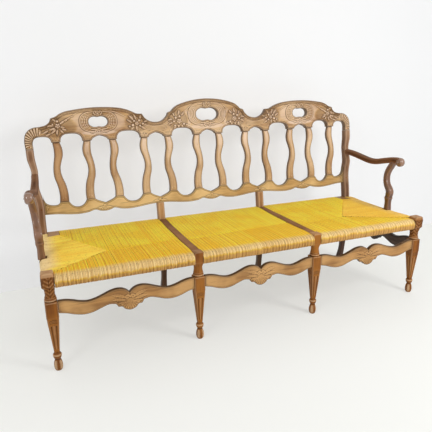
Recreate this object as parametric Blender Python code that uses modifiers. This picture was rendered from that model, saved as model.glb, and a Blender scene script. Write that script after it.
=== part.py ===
"""Three-seat settee in oak with rush seats and an openwork back.

Metres, +Z up, +X along the length, +Y towards the back. The origin is on the floor, in the middle
of the settee's footprint. Inside the script, y is 0 on the centre line of the front legs.
"""

from math import cos, pi, radians, sin

import bmesh
import bpy
from mathutils import Matrix, Vector

# Overall sizes
MIDDLE_BAY = 0.655          # between the two middle front legs
OUTER_BAY = 0.673           # from a middle front leg to an end front leg
SEAT_HEIGHT = 0.455         # top of the rush
SEAT_DEPTH = 0.638          # front leg centre line to back leg centre line
RAKE = radians(7.1)         # lean of the back
BEND_RISE = 0.005           # from the seat's height up to where the back legs start to lean

# Clearances
FIT_GAP = 0.0003            # between wood and wood
RUSH_GAP = 0.0008           # between rush and wood
OVERRUN = 0.004             # how far a cutter or a tenon's root runs past the face it starts from

# Front legs
LEG_STAND = 0.005           # a middle leg's top above the seat
KNEE_STAND = 0.014          # an end leg's top above the seat
LEG_TOP_HALF = 0.0235       # half width of the square block at the seat rails
LEG_TOP_DROP = 0.050        # that block's underside below the seat
KNEE_DROP = 0.058           # the carved knee's underside below the seat
KNEE_OUT = 0.008            # how far the knee stands out at its front and its outer side
LEG_BLOCK_HALF = 0.0265     # half width of the square block at the stretchers
LEG_BLOCK_DROP = 0.193      # that block's underside below the seat
LEG_BLOCK_TALL = 0.073
LEG_EASE = 0.0025           # chamfer round the tops of the blocks

# Back legs
POST_DEPTH = 0.044
POST_WIDTH = 0.042
POST_SET_IN = 0.0080        # end post centre line inside the end leg's
MIDDLE_POST_WIDTH = 0.040
POST_TOP = 0.4434           # heights in the back are measured along the lean, from the bend
POST_CHAMFER = 0.005
FOOT_SPLAY = 0.028          # how far the back feet sweep backwards

# Seat rails
RAIL_THICKNESS = 0.030
RAIL_HEIGHT = 0.036
RAIL_DROP = 0.010           # the rails' top below the seat
RAIL_CHAMFER = 0.004
DIVIDER_WIDTH = 0.040
DIVIDER_HEIGHT = 0.049
DIVIDER_STAND = 0.002       # the dividers' top above the seat
TENON_THICKNESS = 0.011
TENON_HEIGHT = 0.024
TENON_LENGTH = 0.016
CROSS_TENON_LENGTH = 0.013  # of what runs from front to back

# Rush
RUSH_THICKNESS = 0.055
RUSH_FRONT = 0.030          # front of the roll, ahead of the leg centre line
RUSH_BACK = 0.028           # back of the roll, behind the back legs' centre line
RUSH_SIDE = 0.027           # side of the roll, outside the end legs' centre line
RUSH_HOLLOW = 0.020         # how much thinner the rush is between the rails
ROLL_LENGTH = 0.024         # width of the side roll's round
BARE_CORNER = 0.060         # length of back rail that the rush leaves bare at each end
CORNER_FORWARD = 0.056      # how far the bare corner reaches in front of the end post's face
CORNER_SINK = 0.002         # its top below the seat

# Stretchers
STRETCHER_THICKNESS = 0.022
STRETCHER_SET_BACK = 0.004  # their faces behind the legs' faces
STRETCHER_TENON_HEIGHT = 0.030
STRETCHER_ROUND = 0.0025
BACK_STRETCHER_HEIGHT = 0.036

# Back
CREST_THICKNESS = 0.032
LOWER_RAIL_THICKNESS = 0.026
SLAT_THICKNESS = 0.020
END_PAIR_SET_IN = 0.0505    # centre line of the half pair beside an end post, inside the post's
END_PAIR_LESS = 0.018       # how much closer to the next pair it is than the pairs are to each other
SLAT_SPREAD = 0.0695        # from a pair's centre line to each slat at its top
CREST_OVERHANG = 0.0285      # how far the crest runs past the end legs' centre lines
SLAT_TOP = 0.4756
DIP_RISE = 0.0837           # from the slats' tops to the crest's dips
OUTER_ARCH_RISE = 0.0937    # from the dips to the top of an outer arch
MIDDLE_ARCH_RISE = 0.1229
SLAT_BOTTOM = 0.1532
LOWER_RAIL_BOTTOM = 0.0927
SLAT_TOP_HALF = 0.0190
SLAT_BOTTOM_HALF = 0.0240
SLAT_LAND = 0.0045          # flat beside each slat on the crest rail
WIDE_ARCH_RISE = 0.0430
NARROW_ARCH_RISE = 0.0250
END_ARCH_RISE = 0.0323
WIDE_ARCH_SINK = 0.0343
NARROW_ARCH_SINK = 0.0262
END_SWEEP = 0.0450          # rise of the lower rail where it meets an end post
OVAL_HALF_WIDTH = 0.053
OVAL_HALF_HEIGHT = 0.0305
MIDDLE_OVAL_HALF_WIDTH = 0.070
MIDDLE_OVAL_HALF_HEIGHT = 0.039
OVAL_PLACE_share = 0.563    # an oval's centre, between the slats' tops and its arch's top
OVAL_SIDES = 16
BOARD_ROUND = 0.0030
SLAT_ROUND = 0.0035
SLAT_TENON_WIDTH = 0.024
SLAT_TENON_THICKNESS = 0.008
SLAT_TENON_LENGTH = 0.016
POST_TENON_WIDTH = 0.022
POST_TENON_THICKNESS = 0.012
POST_TENON_LENGTH = 0.030
END_TENON_HEIGHT = 0.030

# Arms
ARM_WIDTH = 0.036
ARM_DEPTH = 0.035
ARM_JOINT = 0.300           # height of the arm's joint
ARM_OUT = 0.038             # how far the arm's scroll stands outside its joint
ARM_TENON_LENGTH = 0.020
ARM_TENON_HEIGHT = 0.022
SCROLL_RADIUS = 0.0265
SCROLL_WIDTH = 0.041
SCROLL_FORWARD = 0.195      # y of the scroll's axis
SCROLL_DROP = 0.012         # the scroll's axis below the arm's joint
SCROLL_SIDES = 20
SUPPORT_WIDTH = 0.036
SUPPORT_FORWARD = 0.2455    # y of the arm support's base
SUPPORT_SET_OUT = 0.0145    # its centre line outside the end leg's
SEAT_CUT = 0.003            # depth of the flat that is cut for it under the arm
SUPPORT_TENON_LENGTH = 0.014
FOOT_TENON_THICKNESS = 0.006
LAP_HEIGHT = 0.030          # part of the support that laps over the side rail's outer face

# Pegs
PEG_RADIUS = 0.004
PEG_STAND = 0.0008          # how far a peg stands proud of the wood
PEG_SIDES = 14

# Shapes, as shares of the sizes above, chosen by hand
# Top edge of the crest from the middle to the dip: share of the dip's x, share of the rise
MIDDLE_ARCH_shares = (
    (0.14, 0.983), (0.28, 0.938), (0.40, 0.873), (0.51, 0.79), (0.588, 0.70), (0.645, 0.585), (0.686, 0.475),
    (0.748, 0.415), (0.767, 0.31), (0.81, 0.175), (0.87, 0.065), (0.935, 0.012),
)
# Top edge of the crest from the dip to the end: share of that length, share of the rise
OUTER_ARCH_shares = (
    (0.030, 0.035), (0.057, 0.12), (0.080, 0.25), (0.104, 0.523), (0.151, 0.56), (0.180, 0.67), (0.220, 0.80),
    (0.275, 0.91), (0.345, 0.975), (0.420, 1.0), (0.500, 0.995), (0.575, 0.948), (0.640, 0.885),
    (0.700, 0.80), (0.738, 0.68), (0.764, 0.553), (0.801, 0.46), (0.810, 0.29), (0.835, 0.115),
    (0.880, 0.02), (0.930, -0.02), (0.965, -0.15), (0.988, -0.35), (1.0, -0.695),
)
# A wide arch and a pointed one over an opening: share of the half width, share of the rise
WIDE_ARCH_shares = (
    (0.975, 0.30), (0.84, 0.68), (0.56, 0.92), (0.25, 0.99),
)
NARROW_ARCH_shares = (
    (0.95, 0.25), (0.70, 0.60), (0.35, 0.87),
)
# Top edge of the lower rail beside an end post: share of the way from the slat to the post, share of
# the rise at the post
END_SWEEP_shares = (
    (0.04, -0.20), (0.11, -0.35), (0.22, -0.40), (0.34, -0.24), (0.46, 0.02), (0.60, 0.32), (0.74, 0.58),
    (0.88, 0.79), (1.0, 1.0),
)
# Underside of the lower rail in one bay: share of the half bay, share of the rail's height
LOWER_RAIL_shares = (
    (0.0, -0.20), (0.09, -0.14), (0.155, -0.01), (0.28, -0.16), (0.42, -0.235), (0.58, -0.19), (0.80, -0.05),
)
# A slat: share of its length from the bottom, sway as a share of the spread, half width as a share of a
# straight taper's
SLAT_shares = (
    (0.0, 0.15, 1.0), (0.10, 0.175, 0.98), (0.21, 0.14, 0.98), (0.31, 0.05, 0.99), (0.40, -0.08, 0.97),
    (0.49, -0.145, 0.90), (0.58, -0.135, 0.88), (0.68, -0.04, 0.98), (0.78, 0.08, 1.10),
    (0.87, 0.10, 1.13), (1.0, 0.0, 1.0),
)
# Half of a stretcher's outline, from its middle to its end: share of the half length, share of the leg
# block's height above the block's underside
STRETCHER_TOP_shares = (
    (0.0, 0.82), (0.035, 0.97), (0.09, 1.10), (0.18, 1.16), (0.27, 1.10), (0.38, 0.93), (0.49, 0.77),
    (0.60, 0.70), (0.70, 0.77), (0.80, 0.91), (0.90, 1.01), (1.0, 1.03),
)
STRETCHER_LOW_shares = (
    (1.0, 0.27), (0.90, 0.17), (0.78, -0.01), (0.66, -0.11), (0.54, -0.07), (0.42, 0.10), (0.30, 0.24),
    (0.21, 0.19), (0.175, -0.04), (0.12, -0.07), (0.09, -0.22), (0.04, -0.33), (0.0, -0.36),
)
# A front leg up to its stretcher block: share of the block's height above the floor, half width as a
# share of the block's, and how square it is
LEG_shares = (
    (0.0, 0.50, 0.0), (0.05, 0.68, 0.0), (0.11, 0.73, 0.0), (0.165, 0.64, 0.0), (0.215, 0.45, 0.0),
    (0.255, 0.63, 0.0), (0.29, 0.70, 0.0), (0.325, 0.60, 0.0), (0.35, 0.45, 0.4), (0.38, 0.48, 0.9),
    (0.93, 0.93, 1.0),
)
# The neck above that block: share of the way to the top block, half width, how square it is
NECK_shares = (
    (0.03, 0.90, 0.0), (0.10, 0.98, 0.0), (0.18, 0.92, 0.0), (0.30, 0.85, 0.0), (0.48, 0.79, 0.0),
    (0.68, 0.77, 0.0), (0.85, 0.79, 0.3), (0.96, 0.84, 0.9),
)
# The same of an end leg, below its knee
END_NECK_shares = (
    (0.03, 0.90, 0.0), (0.10, 0.98, 0.0), (0.18, 0.91, 0.0), (0.30, 0.84, 0.1), (0.48, 0.80, 0.3),
    (0.68, 0.82, 0.5), (0.85, 0.84, 0.7), (0.96, 0.86, 0.9),
)
# The knee of an end leg: share of its height, half width as a share of the top block's, stand-out
KNEE_shares = (
    (0.0, 0.97, 0.0), (0.06, 0.99, 0.30), (0.14, 1.0, 0.70), (0.35, 1.0, 1.0), (0.70, 1.0, 0.92),
    (0.90, 1.0, 0.60), (1.0, 0.90, 0.40),
)
# A back leg below the bend: share of the bend's height, share of the splay, share of the width
BACK_LEG_shares = (
    (0.0, 1.0, 0.88), (0.05, 0.76, 0.84), (0.12, 0.46, 0.77), (0.19, 0.26, 0.75), (0.30, 0.09, 0.82),
    (0.42, 0.01, 0.94), (0.50, 0.0, 1.0), (1.0, 0.0, 1.0),
)
# An end post above the bend: share of the way to its top, outward sway and width as shares of its width
END_POST_shares = (
    (0.0, 0.0, 1.0), (0.10, 0.0, 1.0), (0.386, 0.0, 1.0), (0.45, 0.12, 1.0), (0.523, 0.286, 1.0),
    (0.60, 0.25, 0.92), (0.67, 0.17, 0.84), (0.75, 0.12, 0.81), (0.82, 0.24, 0.87), (0.886, 0.36, 0.95),
    (0.94, 0.38, 0.95), (1.0, 0.38, 0.95),
)
# An arm: share of the way from the post to the scroll, height above the joint as a share of the arm's
# depth, share of the outward swing
ARM_shares = (
    (0.0, 0.0, 0.0), (0.08, -0.05, 0.02), (0.20, -0.23, 0.06), (0.29, -0.44, 0.13), (0.38, -0.66, 0.22),
    (0.46, -0.84, 0.30), (0.54, -0.91, 0.38), (0.62, -0.82, 0.49), (0.70, -0.60, 0.60), (0.78, -0.37, 0.71),
    (0.86, -0.18, 0.82), (0.94, -0.09, 0.92), (1.0, -0.09, 1.0),
)
# An arm support: share of its height, backward sway and width as shares of its width
SUPPORT_shares = (
    (0.0, 0.0, 1.0), (0.225, 0.0, 1.0), (0.24, 0.0, 1.07), (0.265, -0.03, 1.07), (0.28, -0.05, 1.0),
    (0.33, -0.12, 1.03), (0.38, -0.15, 1.05), (0.43, 0.06, 1.0), (0.495, 0.52, 0.95), (0.58, 0.86, 0.92),
    (0.667, 0.96, 0.90), (0.74, 0.90, 0.90), (0.81, 0.68, 0.91), (0.89, 0.27, 0.91),
    (0.96, -0.02, 0.90), (1.0, -0.03, 0.90),
)
# Rush from the front over the top to the back: share of the depth, share of the thickness
RUSH_TOP_shares = (
    (0.0, 0.45), (0.006, 0.76), (0.026, 0.96), (0.060, 1.0), (0.30, 0.965), (0.5, 0.95), (0.72, 0.965),
    (0.95, 1.0), (0.982, 0.95), (0.996, 0.76), (1.0, 0.42), (0.994, 0.18), (0.970, 0.02),
)
# Its underside from the back to the front: share of the depth, share of the hollow
RUSH_UNDER_shares = ((0.90, 0.05), (0.80, 1.0), (0.20, 1.0), (0.10, 0.05))
RUSH_LIP_shares = ((0.035, 0.0), (0.008, 0.16))
# Round of the side roll: share of its length, inset as a share of the rush's thickness
ROLL_shares = ((0.0, 0.30), (0.12, 0.16), (0.35, 0.05), (1.0, 0.0))

# Places that follow
MIDDLE_LEG_X = MIDDLE_BAY / 2
END_LEG_X = MIDDLE_LEG_X + OUTER_BAY
END_POST_X = END_LEG_X - POST_SET_IN
SIDE_X = (END_LEG_X + END_POST_X) / 2
LEG_BLOCK_LOW = SEAT_HEIGHT - LEG_BLOCK_DROP
LEG_BLOCK_HIGH = LEG_BLOCK_LOW + LEG_BLOCK_TALL
LEG_BLOCK_MIDDLE = (LEG_BLOCK_LOW + LEG_BLOCK_HIGH) / 2
LEG_TOP_LOW = SEAT_HEIGHT - LEG_TOP_DROP
RAIL_TOP = SEAT_HEIGHT - RAIL_DROP
RAIL_MIDDLE = RAIL_TOP - RAIL_HEIGHT / 2
BEND_HEIGHT = SEAT_HEIGHT + BEND_RISE
POST_FRONT = SEAT_DEPTH - POST_DEPTH / 2
CREST_DIP = SLAT_TOP + DIP_RISE
OUTER_ARCH = CREST_DIP + OUTER_ARCH_RISE
MIDDLE_ARCH = CREST_DIP + MIDDLE_ARCH_RISE
OUTER_OVAL_HEIGHT = SLAT_TOP + (OUTER_ARCH - SLAT_TOP) * OVAL_PLACE_share
MIDDLE_OVAL_HEIGHT = SLAT_TOP + (MIDDLE_ARCH - SLAT_TOP) * OVAL_PLACE_share
LEAN = Vector((0, sin(RAKE), cos(RAKE)))
FORWARD = Vector((0, -cos(RAKE), sin(RAKE)))
BACK_REACH = SEAT_DEPTH + (MIDDLE_ARCH - BOARD_ROUND) * sin(RAKE) + CREST_THICKNESS / 2 * cos(RAKE)
FRONT_REACH = max(RUSH_FRONT, LEG_TOP_HALF + KNEE_OUT)
MIDDLE_Y = (BACK_REACH - FRONT_REACH) / 2
END_PAIR = END_POST_X - END_PAIR_SET_IN
PAIR_SPACING = (END_PAIR + END_PAIR_LESS) / 3
PAIR_CENTRES = [n * PAIR_SPACING for n in (-2, -1, 0, 1, 2)]
OUTER_OVAL_X = 2 * PAIR_SPACING
CREST_END = END_LEG_X + CREST_OVERHANG
POST_TOP_X = END_POST_X + POST_WIDTH * END_POST_shares[-1][1]
POST_TOP_HALF = POST_WIDTH * END_POST_shares[-1][2] / 2
SUPPORT_X = END_LEG_X + SUPPORT_SET_OUT
LEG_PLACES = (-END_LEG_X, -MIDDLE_LEG_X, MIDDLE_LEG_X, END_LEG_X)
POST_PLACES = (-END_POST_X, -MIDDLE_LEG_X, MIDDLE_LEG_X, END_POST_X)
POST_HALVES = (POST_WIDTH / 2, MIDDLE_POST_WIDTH / 2, MIDDLE_POST_WIDTH / 2, POST_WIDTH / 2)
BAYS = ("left", "middle", "right")

# Colour and roughness
OAK = ((0.42, 0.22, 0.10), 0.45)
DARK_OAK = ((0.24, 0.12, 0.06), 0.40)
PALE_OAK = ((0.52, 0.31, 0.16), 0.50)
RUSH = ((0.78, 0.53, 0.10), 0.75)


def start():
    """Clears the scene and makes the two collections and the two parents."""
    for old in list(bpy.data.objects):
        bpy.data.objects.remove(old)
    made = {}
    for name in ("settee", "cutters"):
        made[name] = bpy.data.collections.new(name)
        bpy.context.scene.collection.children.link(made[name])
    origin = bpy.data.objects.new("settee_origin", None)
    origin.location = (0, -MIDDLE_Y, 0)
    back = bpy.data.objects.new("back_frame", None)
    back.parent = origin
    back.location = (0, SEAT_DEPTH, BEND_HEIGHT)
    back.rotation_euler = (-RAKE, 0, 0)
    for empty in (origin, back):
        made["settee"].objects.link(empty)
    return made["settee"], made["cutters"], origin, back


PARTS, CUTTERS, ORIGIN, BACK = start()


def material(name, look):
    colour, roughness = look
    made = bpy.data.materials.new(name)
    made.use_nodes = True
    shader = made.node_tree.nodes["Principled BSDF"]
    shader.inputs["Base Color"].default_value = (*colour, 1)
    shader.inputs["Roughness"].default_value = roughness
    shader.inputs["Metallic"].default_value = 0
    return made


def keep(name, mesh, look, parent=ORIGIN):
    """A sub-part of the settee."""
    piece = bpy.data.objects.new(name, mesh)
    piece.parent = parent
    mesh.materials.clear()
    mesh.materials.append(material(name, look))
    mesh.shade_smooth()
    mesh.set_sharp_from_angle(angle=radians(35))
    PARTS.objects.link(piece)
    return piece


def helper(name, mesh, parent=ORIGIN):
    """A shape to join or to cut, which isn't a sub-part."""
    piece = bpy.data.objects.new(name, mesh)
    piece.parent = parent
    piece.hide_render = True
    piece.display_type = "WIRE"
    CUTTERS.objects.link(piece)
    return piece


def box_mesh(name, corners, grow=0.0):
    """Cuboids that don't touch, each given by two opposite corners."""
    mesh = bpy.data.meshes.new(name)
    form = bmesh.new()
    for one, other in corners:
        one, other = Vector(one), Vector(other)
        size = Vector([abs(length) + 2 * grow for length in one - other])
        place = Matrix.Translation((one + other) / 2) @ Matrix.Diagonal((*size, 1))
        bmesh.ops.create_cube(form, size=1, matrix=place)
    form.to_mesh(mesh)
    form.free()
    return mesh


def boxes(name, corners, parent=ORIGIN, grow=0.0):
    return helper(name, box_mesh(name, corners, grow), parent)


def rod(name, start_point, end_point, radius, sides):
    """A cylinder between two points, as a mesh."""
    start_point, end_point = Vector(start_point), Vector(end_point)
    along = end_point - start_point
    turn = along.to_track_quat("Z", "Y").to_matrix().to_4x4()
    mesh = bpy.data.meshes.new(name)
    form = bmesh.new()
    bmesh.ops.create_cone(
        form, cap_ends=True, segments=sides, radius1=radius, radius2=radius, depth=along.length,
        matrix=Matrix.Translation((start_point + end_point) / 2) @ turn,
    )
    form.to_mesh(mesh)
    form.free()
    return mesh


def join(piece, tool):
    change = piece.modifiers.new("join " + tool.name, "BOOLEAN")
    change.operation = "UNION"
    change.object = tool


def cut(piece, tool):
    change = piece.modifiers.new("cut " + tool.name, "BOOLEAN")
    change.operation = "DIFFERENCE"
    change.object = tool


def tenon(name, piece, holder, one, other, parent=ORIGIN):
    """Adds a tenon, given by two opposite corners, to a piece and cuts its mortise in what holds it."""
    join(piece, boxes(name + "_tenon", [(one, other)], parent))
    cut(holder, boxes(name + "_mortise", [(one, other)], parent, FIT_GAP))


def board(name, loops, thickness, round_by, look, parent=ORIGIN, turned=False):
    """A flat board with eased edges, centred in its thickness, from loops of points (across, up).

    The outline lies in X and Z, or in Y and Z if turned.
    """
    curve = bpy.data.curves.new(name, "CURVE")
    curve.dimensions = "2D"
    curve.fill_mode = "BOTH"
    curve.extrude = thickness / 2 - round_by
    curve.bevel_depth = round_by
    curve.bevel_resolution = 0
    curve.offset = -round_by
    for loop in loops:
        spline = curve.splines.new("POLY")
        spline.points.add(len(loop) - 1)
        for point, place in zip(spline.points, loop):
            point.co = (*place, 0, 1)
        spline.use_cyclic_u = True
    outline = bpy.data.objects.new(name + "_outline", curve)
    PARTS.objects.link(outline)
    upright = Matrix.Rotation(pi / 2, 4, "X")
    if turned:
        upright = Matrix.Rotation(pi / 2, 4, "Z") @ upright
    mesh = bpy.data.meshes.new_from_object(outline.evaluated_get(bpy.context.evaluated_depsgraph_get()))
    mesh.transform(upright @ outline.matrix_world)
    bpy.data.objects.remove(outline)
    form = bmesh.new()
    form.from_mesh(mesh)
    bmesh.ops.remove_doubles(form, verts=form.verts, dist=round_by / 100)
    bmesh.ops.recalc_face_normals(form, faces=form.faces)
    form.to_mesh(mesh)
    form.free()
    return keep(name, mesh, look, parent)


def loft_mesh(name, rings):
    """A closed solid through rings of equally many points, capped at both ends."""
    mesh = bpy.data.meshes.new(name)
    form = bmesh.new()
    lines = [[form.verts.new(point) for point in ring] for ring in rings]
    for low, high in zip(lines, lines[1:]):
        for i in range(len(low)):
            after = (i + 1) % len(low)
            form.faces.new((low[i], low[after], high[after], high[i]))
    form.faces.new(list(reversed(lines[0])))
    form.faces.new(lines[-1])
    bmesh.ops.recalc_face_normals(form, faces=form.faces)
    form.to_mesh(mesh)
    form.free()
    return mesh


def chamfered_ring(centre, tangent, width, depth, chamfer):
    """Eight points of a chamfered rectangle whose width lies along X, square to a tangent in Y and Z."""
    inward = Vector((0, tangent.z, -tangent.y)).normalized()
    half, deep = width / 2, depth / 2
    ring = []
    for across, back in (
        (half, deep - chamfer), (half - chamfer, deep), (chamfer - half, deep), (-half, deep - chamfer),
        (-half, chamfer - deep), (chamfer - half, -deep), (half - chamfer, -deep), (half, chamfer - deep),
    ):
        ring.append(Vector(centre) + Vector((across, 0, 0)) + inward * back)
    return ring


def path_mesh(name, stations, chamfer, first, last=None):
    """A bar along stations (centre, width, depth), with its ends square to the directions given."""
    centres = [Vector(station[0]) for station in stations]
    rings = []
    for i, (_, width, depth) in enumerate(stations):
        tangent = centres[min(i + 1, len(centres) - 1)] - centres[max(i - 1, 0)]
        if i == 0:
            tangent = Vector(first)
        if i == len(stations) - 1 and last:
            tangent = Vector(last)
        rings.append(chamfered_ring(centres[i], tangent, width, depth, chamfer))
    return loft_mesh(name, rings)


def between(rows, at, column):
    """Reads a column of a table of shares at a place between its rows."""
    for low, high in zip(rows, rows[1:]):
        if low[0] <= at <= high[0]:
            way = (at - low[0]) / (high[0] - low[0])
            return low[column] + (high[column] - low[column]) * way
    return rows[-1][column]


def square_ring(x, height, half, square):
    """Sixteen points of a section that runs from a circle (square 0) to a square (square 1)."""
    ring = []
    for quarter in range(4):
        for degrees in (15, 41, 49, 75):
            angle = radians(degrees + 90 * quarter)
            side = max(abs(cos(angle)), abs(sin(angle)))
            reach = half * ((1 - square) + square / side)
            ring.append(Vector((x + reach * cos(angle), reach * sin(angle), height)))
    return ring


def side_name(side):
    return "left" if side < 0 else "right"


def mirrored(loop):
    """Closes the right half of an outline, which starts and ends on the middle, with its mirror image."""
    return [*loop, *((-x, z) for x, z in reversed(loop) if x)]


def knee_rings(x, side):
    """The carved knee at the top of an end leg, which stands out at its front and its outer side."""
    low = SEAT_HEIGHT - KNEE_DROP
    rings = []
    for up, width, out in KNEE_shares:
        ring = square_ring(x, low + (SEAT_HEIGHT + KNEE_STAND - low) * up, LEG_TOP_HALF * width, 1)
        for point in ring:
            if side * (point.x - x) > 0:
                point.x += side * KNEE_OUT * out
            if point.y < 0:
                point.y -= KNEE_OUT * out
        rings.append(ring)
    return rings


def block_rings(x, low, high, half):
    return [
        square_ring(x, low, half, 1),
        square_ring(x, high - LEG_EASE, half, 1),
        square_ring(x, high, half - LEG_EASE, 1),
    ]


def front_leg(name, x, knee):
    """A front leg. knee is the side of the settee that an end leg's knee faces, or 0 for a middle leg."""
    top_low = SEAT_HEIGHT - KNEE_DROP if knee else LEG_TOP_LOW
    neck = top_low - LEG_BLOCK_HIGH
    rings = []
    for up, wide, square in LEG_shares:
        rings.append(square_ring(x, LEG_BLOCK_LOW * up, LEG_BLOCK_HALF * wide, square))
    rings += block_rings(x, LEG_BLOCK_LOW, LEG_BLOCK_HIGH, LEG_BLOCK_HALF)
    for up, wide, square in END_NECK_shares if knee else NECK_shares:
        rings.append(square_ring(x, LEG_BLOCK_HIGH + neck * up, LEG_BLOCK_HALF * wide, square))
    if knee:
        rings += knee_rings(x, knee)
    else:
        rings += block_rings(x, LEG_TOP_LOW, SEAT_HEIGHT + LEG_STAND, LEG_TOP_HALF)
    return keep(name, loft_mesh(name, rings), OAK)


def on_back(x, along):
    """A place on the back's middle plane, from its height along the lean."""
    return Vector((x, SEAT_DEPTH, BEND_HEIGHT)) + LEAN * along


def lower_back_leg(x, width):
    """Stations of a back leg from the floor to the bend."""
    stations = []
    for up, splay, share in BACK_LEG_shares:
        centre = (x, SEAT_DEPTH + FOOT_SPLAY * splay, BEND_HEIGHT * up)
        stations.append((centre, width * share, POST_DEPTH * share))
    return stations


def end_post(name, side):
    stations = lower_back_leg(side * END_POST_X, POST_WIDTH)
    for along, sway, share in END_POST_shares[1:]:
        centre = on_back(side * (END_POST_X + POST_WIDTH * sway), POST_TOP * along)
        stations.append((centre, POST_WIDTH * share, POST_DEPTH))
    return keep(name, path_mesh(name, stations, POST_CHAMFER, (0, 0, 1), LEAN), OAK)


def middle_post(name, x):
    stations = lower_back_leg(x, MIDDLE_POST_WIDTH)
    stations.append((on_back(x, LOWER_RAIL_BOTTOM - FIT_GAP), MIDDLE_POST_WIDTH, POST_DEPTH))
    return keep(name, path_mesh(name, stations, POST_CHAMFER, (0, 0, 1), LEAN), OAK)


def slat_places():
    """(x of the top, way of the sway) of each slat, from left to right."""
    places = [(SLAT_SPREAD - END_PAIR, 1)]
    for centre in PAIR_CENTRES:
        places += [(centre - SLAT_SPREAD, -1), (centre + SLAT_SPREAD, 1)]
    return [*places, (END_PAIR - SLAT_SPREAD, -1)]


SLATS = slat_places()
SLAT_TOPS = [x for x, way in SLATS]
SLAT_FEET = [x + way * SLAT_SPREAD * SLAT_shares[0][1] for x, way in SLATS]


def openings(places, half):
    """(left, right, wide) of each opening between slats on the right half, from the middle outwards."""
    found = []
    places = [x for x in places if x > 0]
    for left, right in zip(places, places[1:]):
        wide = all(abs((left + right) / 2 - centre) > SLAT_SPREAD / 2 for centre in PAIR_CENTRES)
        found.append((left + half, right - half, wide))
    return found


def arch(left, right, level, wide, rise):
    """An arch from its right foot to its left foot. A negative rise makes a hollow."""
    middle, half = (left + right) / 2, (right - left) / 2
    shares = WIDE_ARCH_shares if wide else NARROW_ARCH_shares
    up = [(middle + half * w, level + rise * h) for w, h in shares]
    down = [(middle - half * w, level + rise * h) for w, h in reversed(shares)]
    return [(right, level), *up, (middle, level + rise), *down, (left, level)]


def half_arch(half, level, rise):
    """The right half of the pointed arch on the middle line, from its foot to its point."""
    return [(half, level), *((half * w, level + rise * h) for w, h in NARROW_ARCH_shares), (0, level + rise)]


def oval(x, height, wide, tall):
    turns = [2 * pi * i / OVAL_SIDES for i in range(OVAL_SIDES)]
    return [(x + wide * cos(t), height + tall * sin(t)) for t in turns]


def crest_rail():
    """The crest rail: its top edge from the middle to the right end, then its arches back again."""
    right = [(0, MIDDLE_ARCH)]
    rise = MIDDLE_ARCH - CREST_DIP
    right += [(PAIR_SPACING * w, CREST_DIP + rise * h) for w, h in MIDDLE_ARCH_shares]
    right.append((PAIR_SPACING, CREST_DIP))
    length, rise = CREST_END - PAIR_SPACING, OUTER_ARCH - CREST_DIP
    right += [(PAIR_SPACING + length * w, CREST_DIP + rise * h) for w, h in OUTER_ARCH_shares]
    inner = POST_TOP_X - POST_TOP_HALF
    right += [(POST_TOP_X + POST_TOP_HALF, POST_TOP + FIT_GAP), (inner, POST_TOP + FIT_GAP)]
    half = SLAT_TOP_HALF + SLAT_LAND
    right += arch(SLAT_TOPS[-1] + half, inner, SLAT_TOP, True, END_ARCH_RISE)[1:]
    for left_edge, right_edge, wide in reversed(openings(SLAT_TOPS, half)):
        right += arch(left_edge, right_edge, SLAT_TOP, wide, WIDE_ARCH_RISE if wide else NARROW_ARCH_RISE)
    right += half_arch(SLAT_SPREAD - half, SLAT_TOP, NARROW_ARCH_RISE)
    loops = [
        mirrored(right),
        oval(-OUTER_OVAL_X, OUTER_OVAL_HEIGHT, OVAL_HALF_WIDTH, OVAL_HALF_HEIGHT),
        oval(0, MIDDLE_OVAL_HEIGHT, MIDDLE_OVAL_HALF_WIDTH, MIDDLE_OVAL_HALF_HEIGHT),
        oval(OUTER_OVAL_X, OUTER_OVAL_HEIGHT, OVAL_HALF_WIDTH, OVAL_HALF_HEIGHT),
    ]
    return board("crest_rail", loops, CREST_THICKNESS, BOARD_ROUND, PALE_OAK, BACK)


def bay_underside(middle, half, tall):
    """Underside of the lower rail in one bay, from right to left."""
    left = [(middle - half * w, LOWER_RAIL_BOTTOM + tall * drop) for w, drop in LOWER_RAIL_shares]
    right = [(2 * middle - x, z) for x, z in reversed(left[1:])]
    return [*right, *left]


def lower_back_rail():
    """The lower back rail: its scalloped top edge, then its underside back again."""
    inner = END_POST_X - POST_WIDTH / 2 - FIT_GAP
    tall = SLAT_BOTTOM - LOWER_RAIL_BOTTOM
    right = list(reversed(half_arch(SLAT_FEET[6] - SLAT_BOTTOM_HALF, SLAT_BOTTOM, -NARROW_ARCH_SINK)))
    for left_edge, right_edge, wide in openings(SLAT_FEET, SLAT_BOTTOM_HALF):
        sink = WIDE_ARCH_SINK if wide else NARROW_ARCH_SINK
        right += reversed(arch(left_edge, right_edge, SLAT_BOTTOM, wide, -sink))
    foot = SLAT_FEET[-1] + SLAT_BOTTOM_HALF
    right.append((foot, SLAT_BOTTOM))
    right += [(foot + (inner - foot) * way, SLAT_BOTTOM + END_SWEEP * up) for way, up in END_SWEEP_shares]
    right.append((inner, LOWER_RAIL_BOTTOM))
    right += bay_underside((MIDDLE_LEG_X + inner) / 2, (inner - MIDDLE_LEG_X) / 2, tall)
    right += [(MIDDLE_LEG_X + MIDDLE_POST_WIDTH / 2, LOWER_RAIL_BOTTOM)]
    right += [(MIDDLE_LEG_X - MIDDLE_POST_WIDTH / 2, LOWER_RAIL_BOTTOM)]
    right += [(x, z) for x, z in bay_underside(0, MIDDLE_LEG_X, tall) if x >= 0]
    return board("lower_back_rail", [mirrored(right)], LOWER_RAIL_THICKNESS, BOARD_ROUND, PALE_OAK, BACK)


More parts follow.
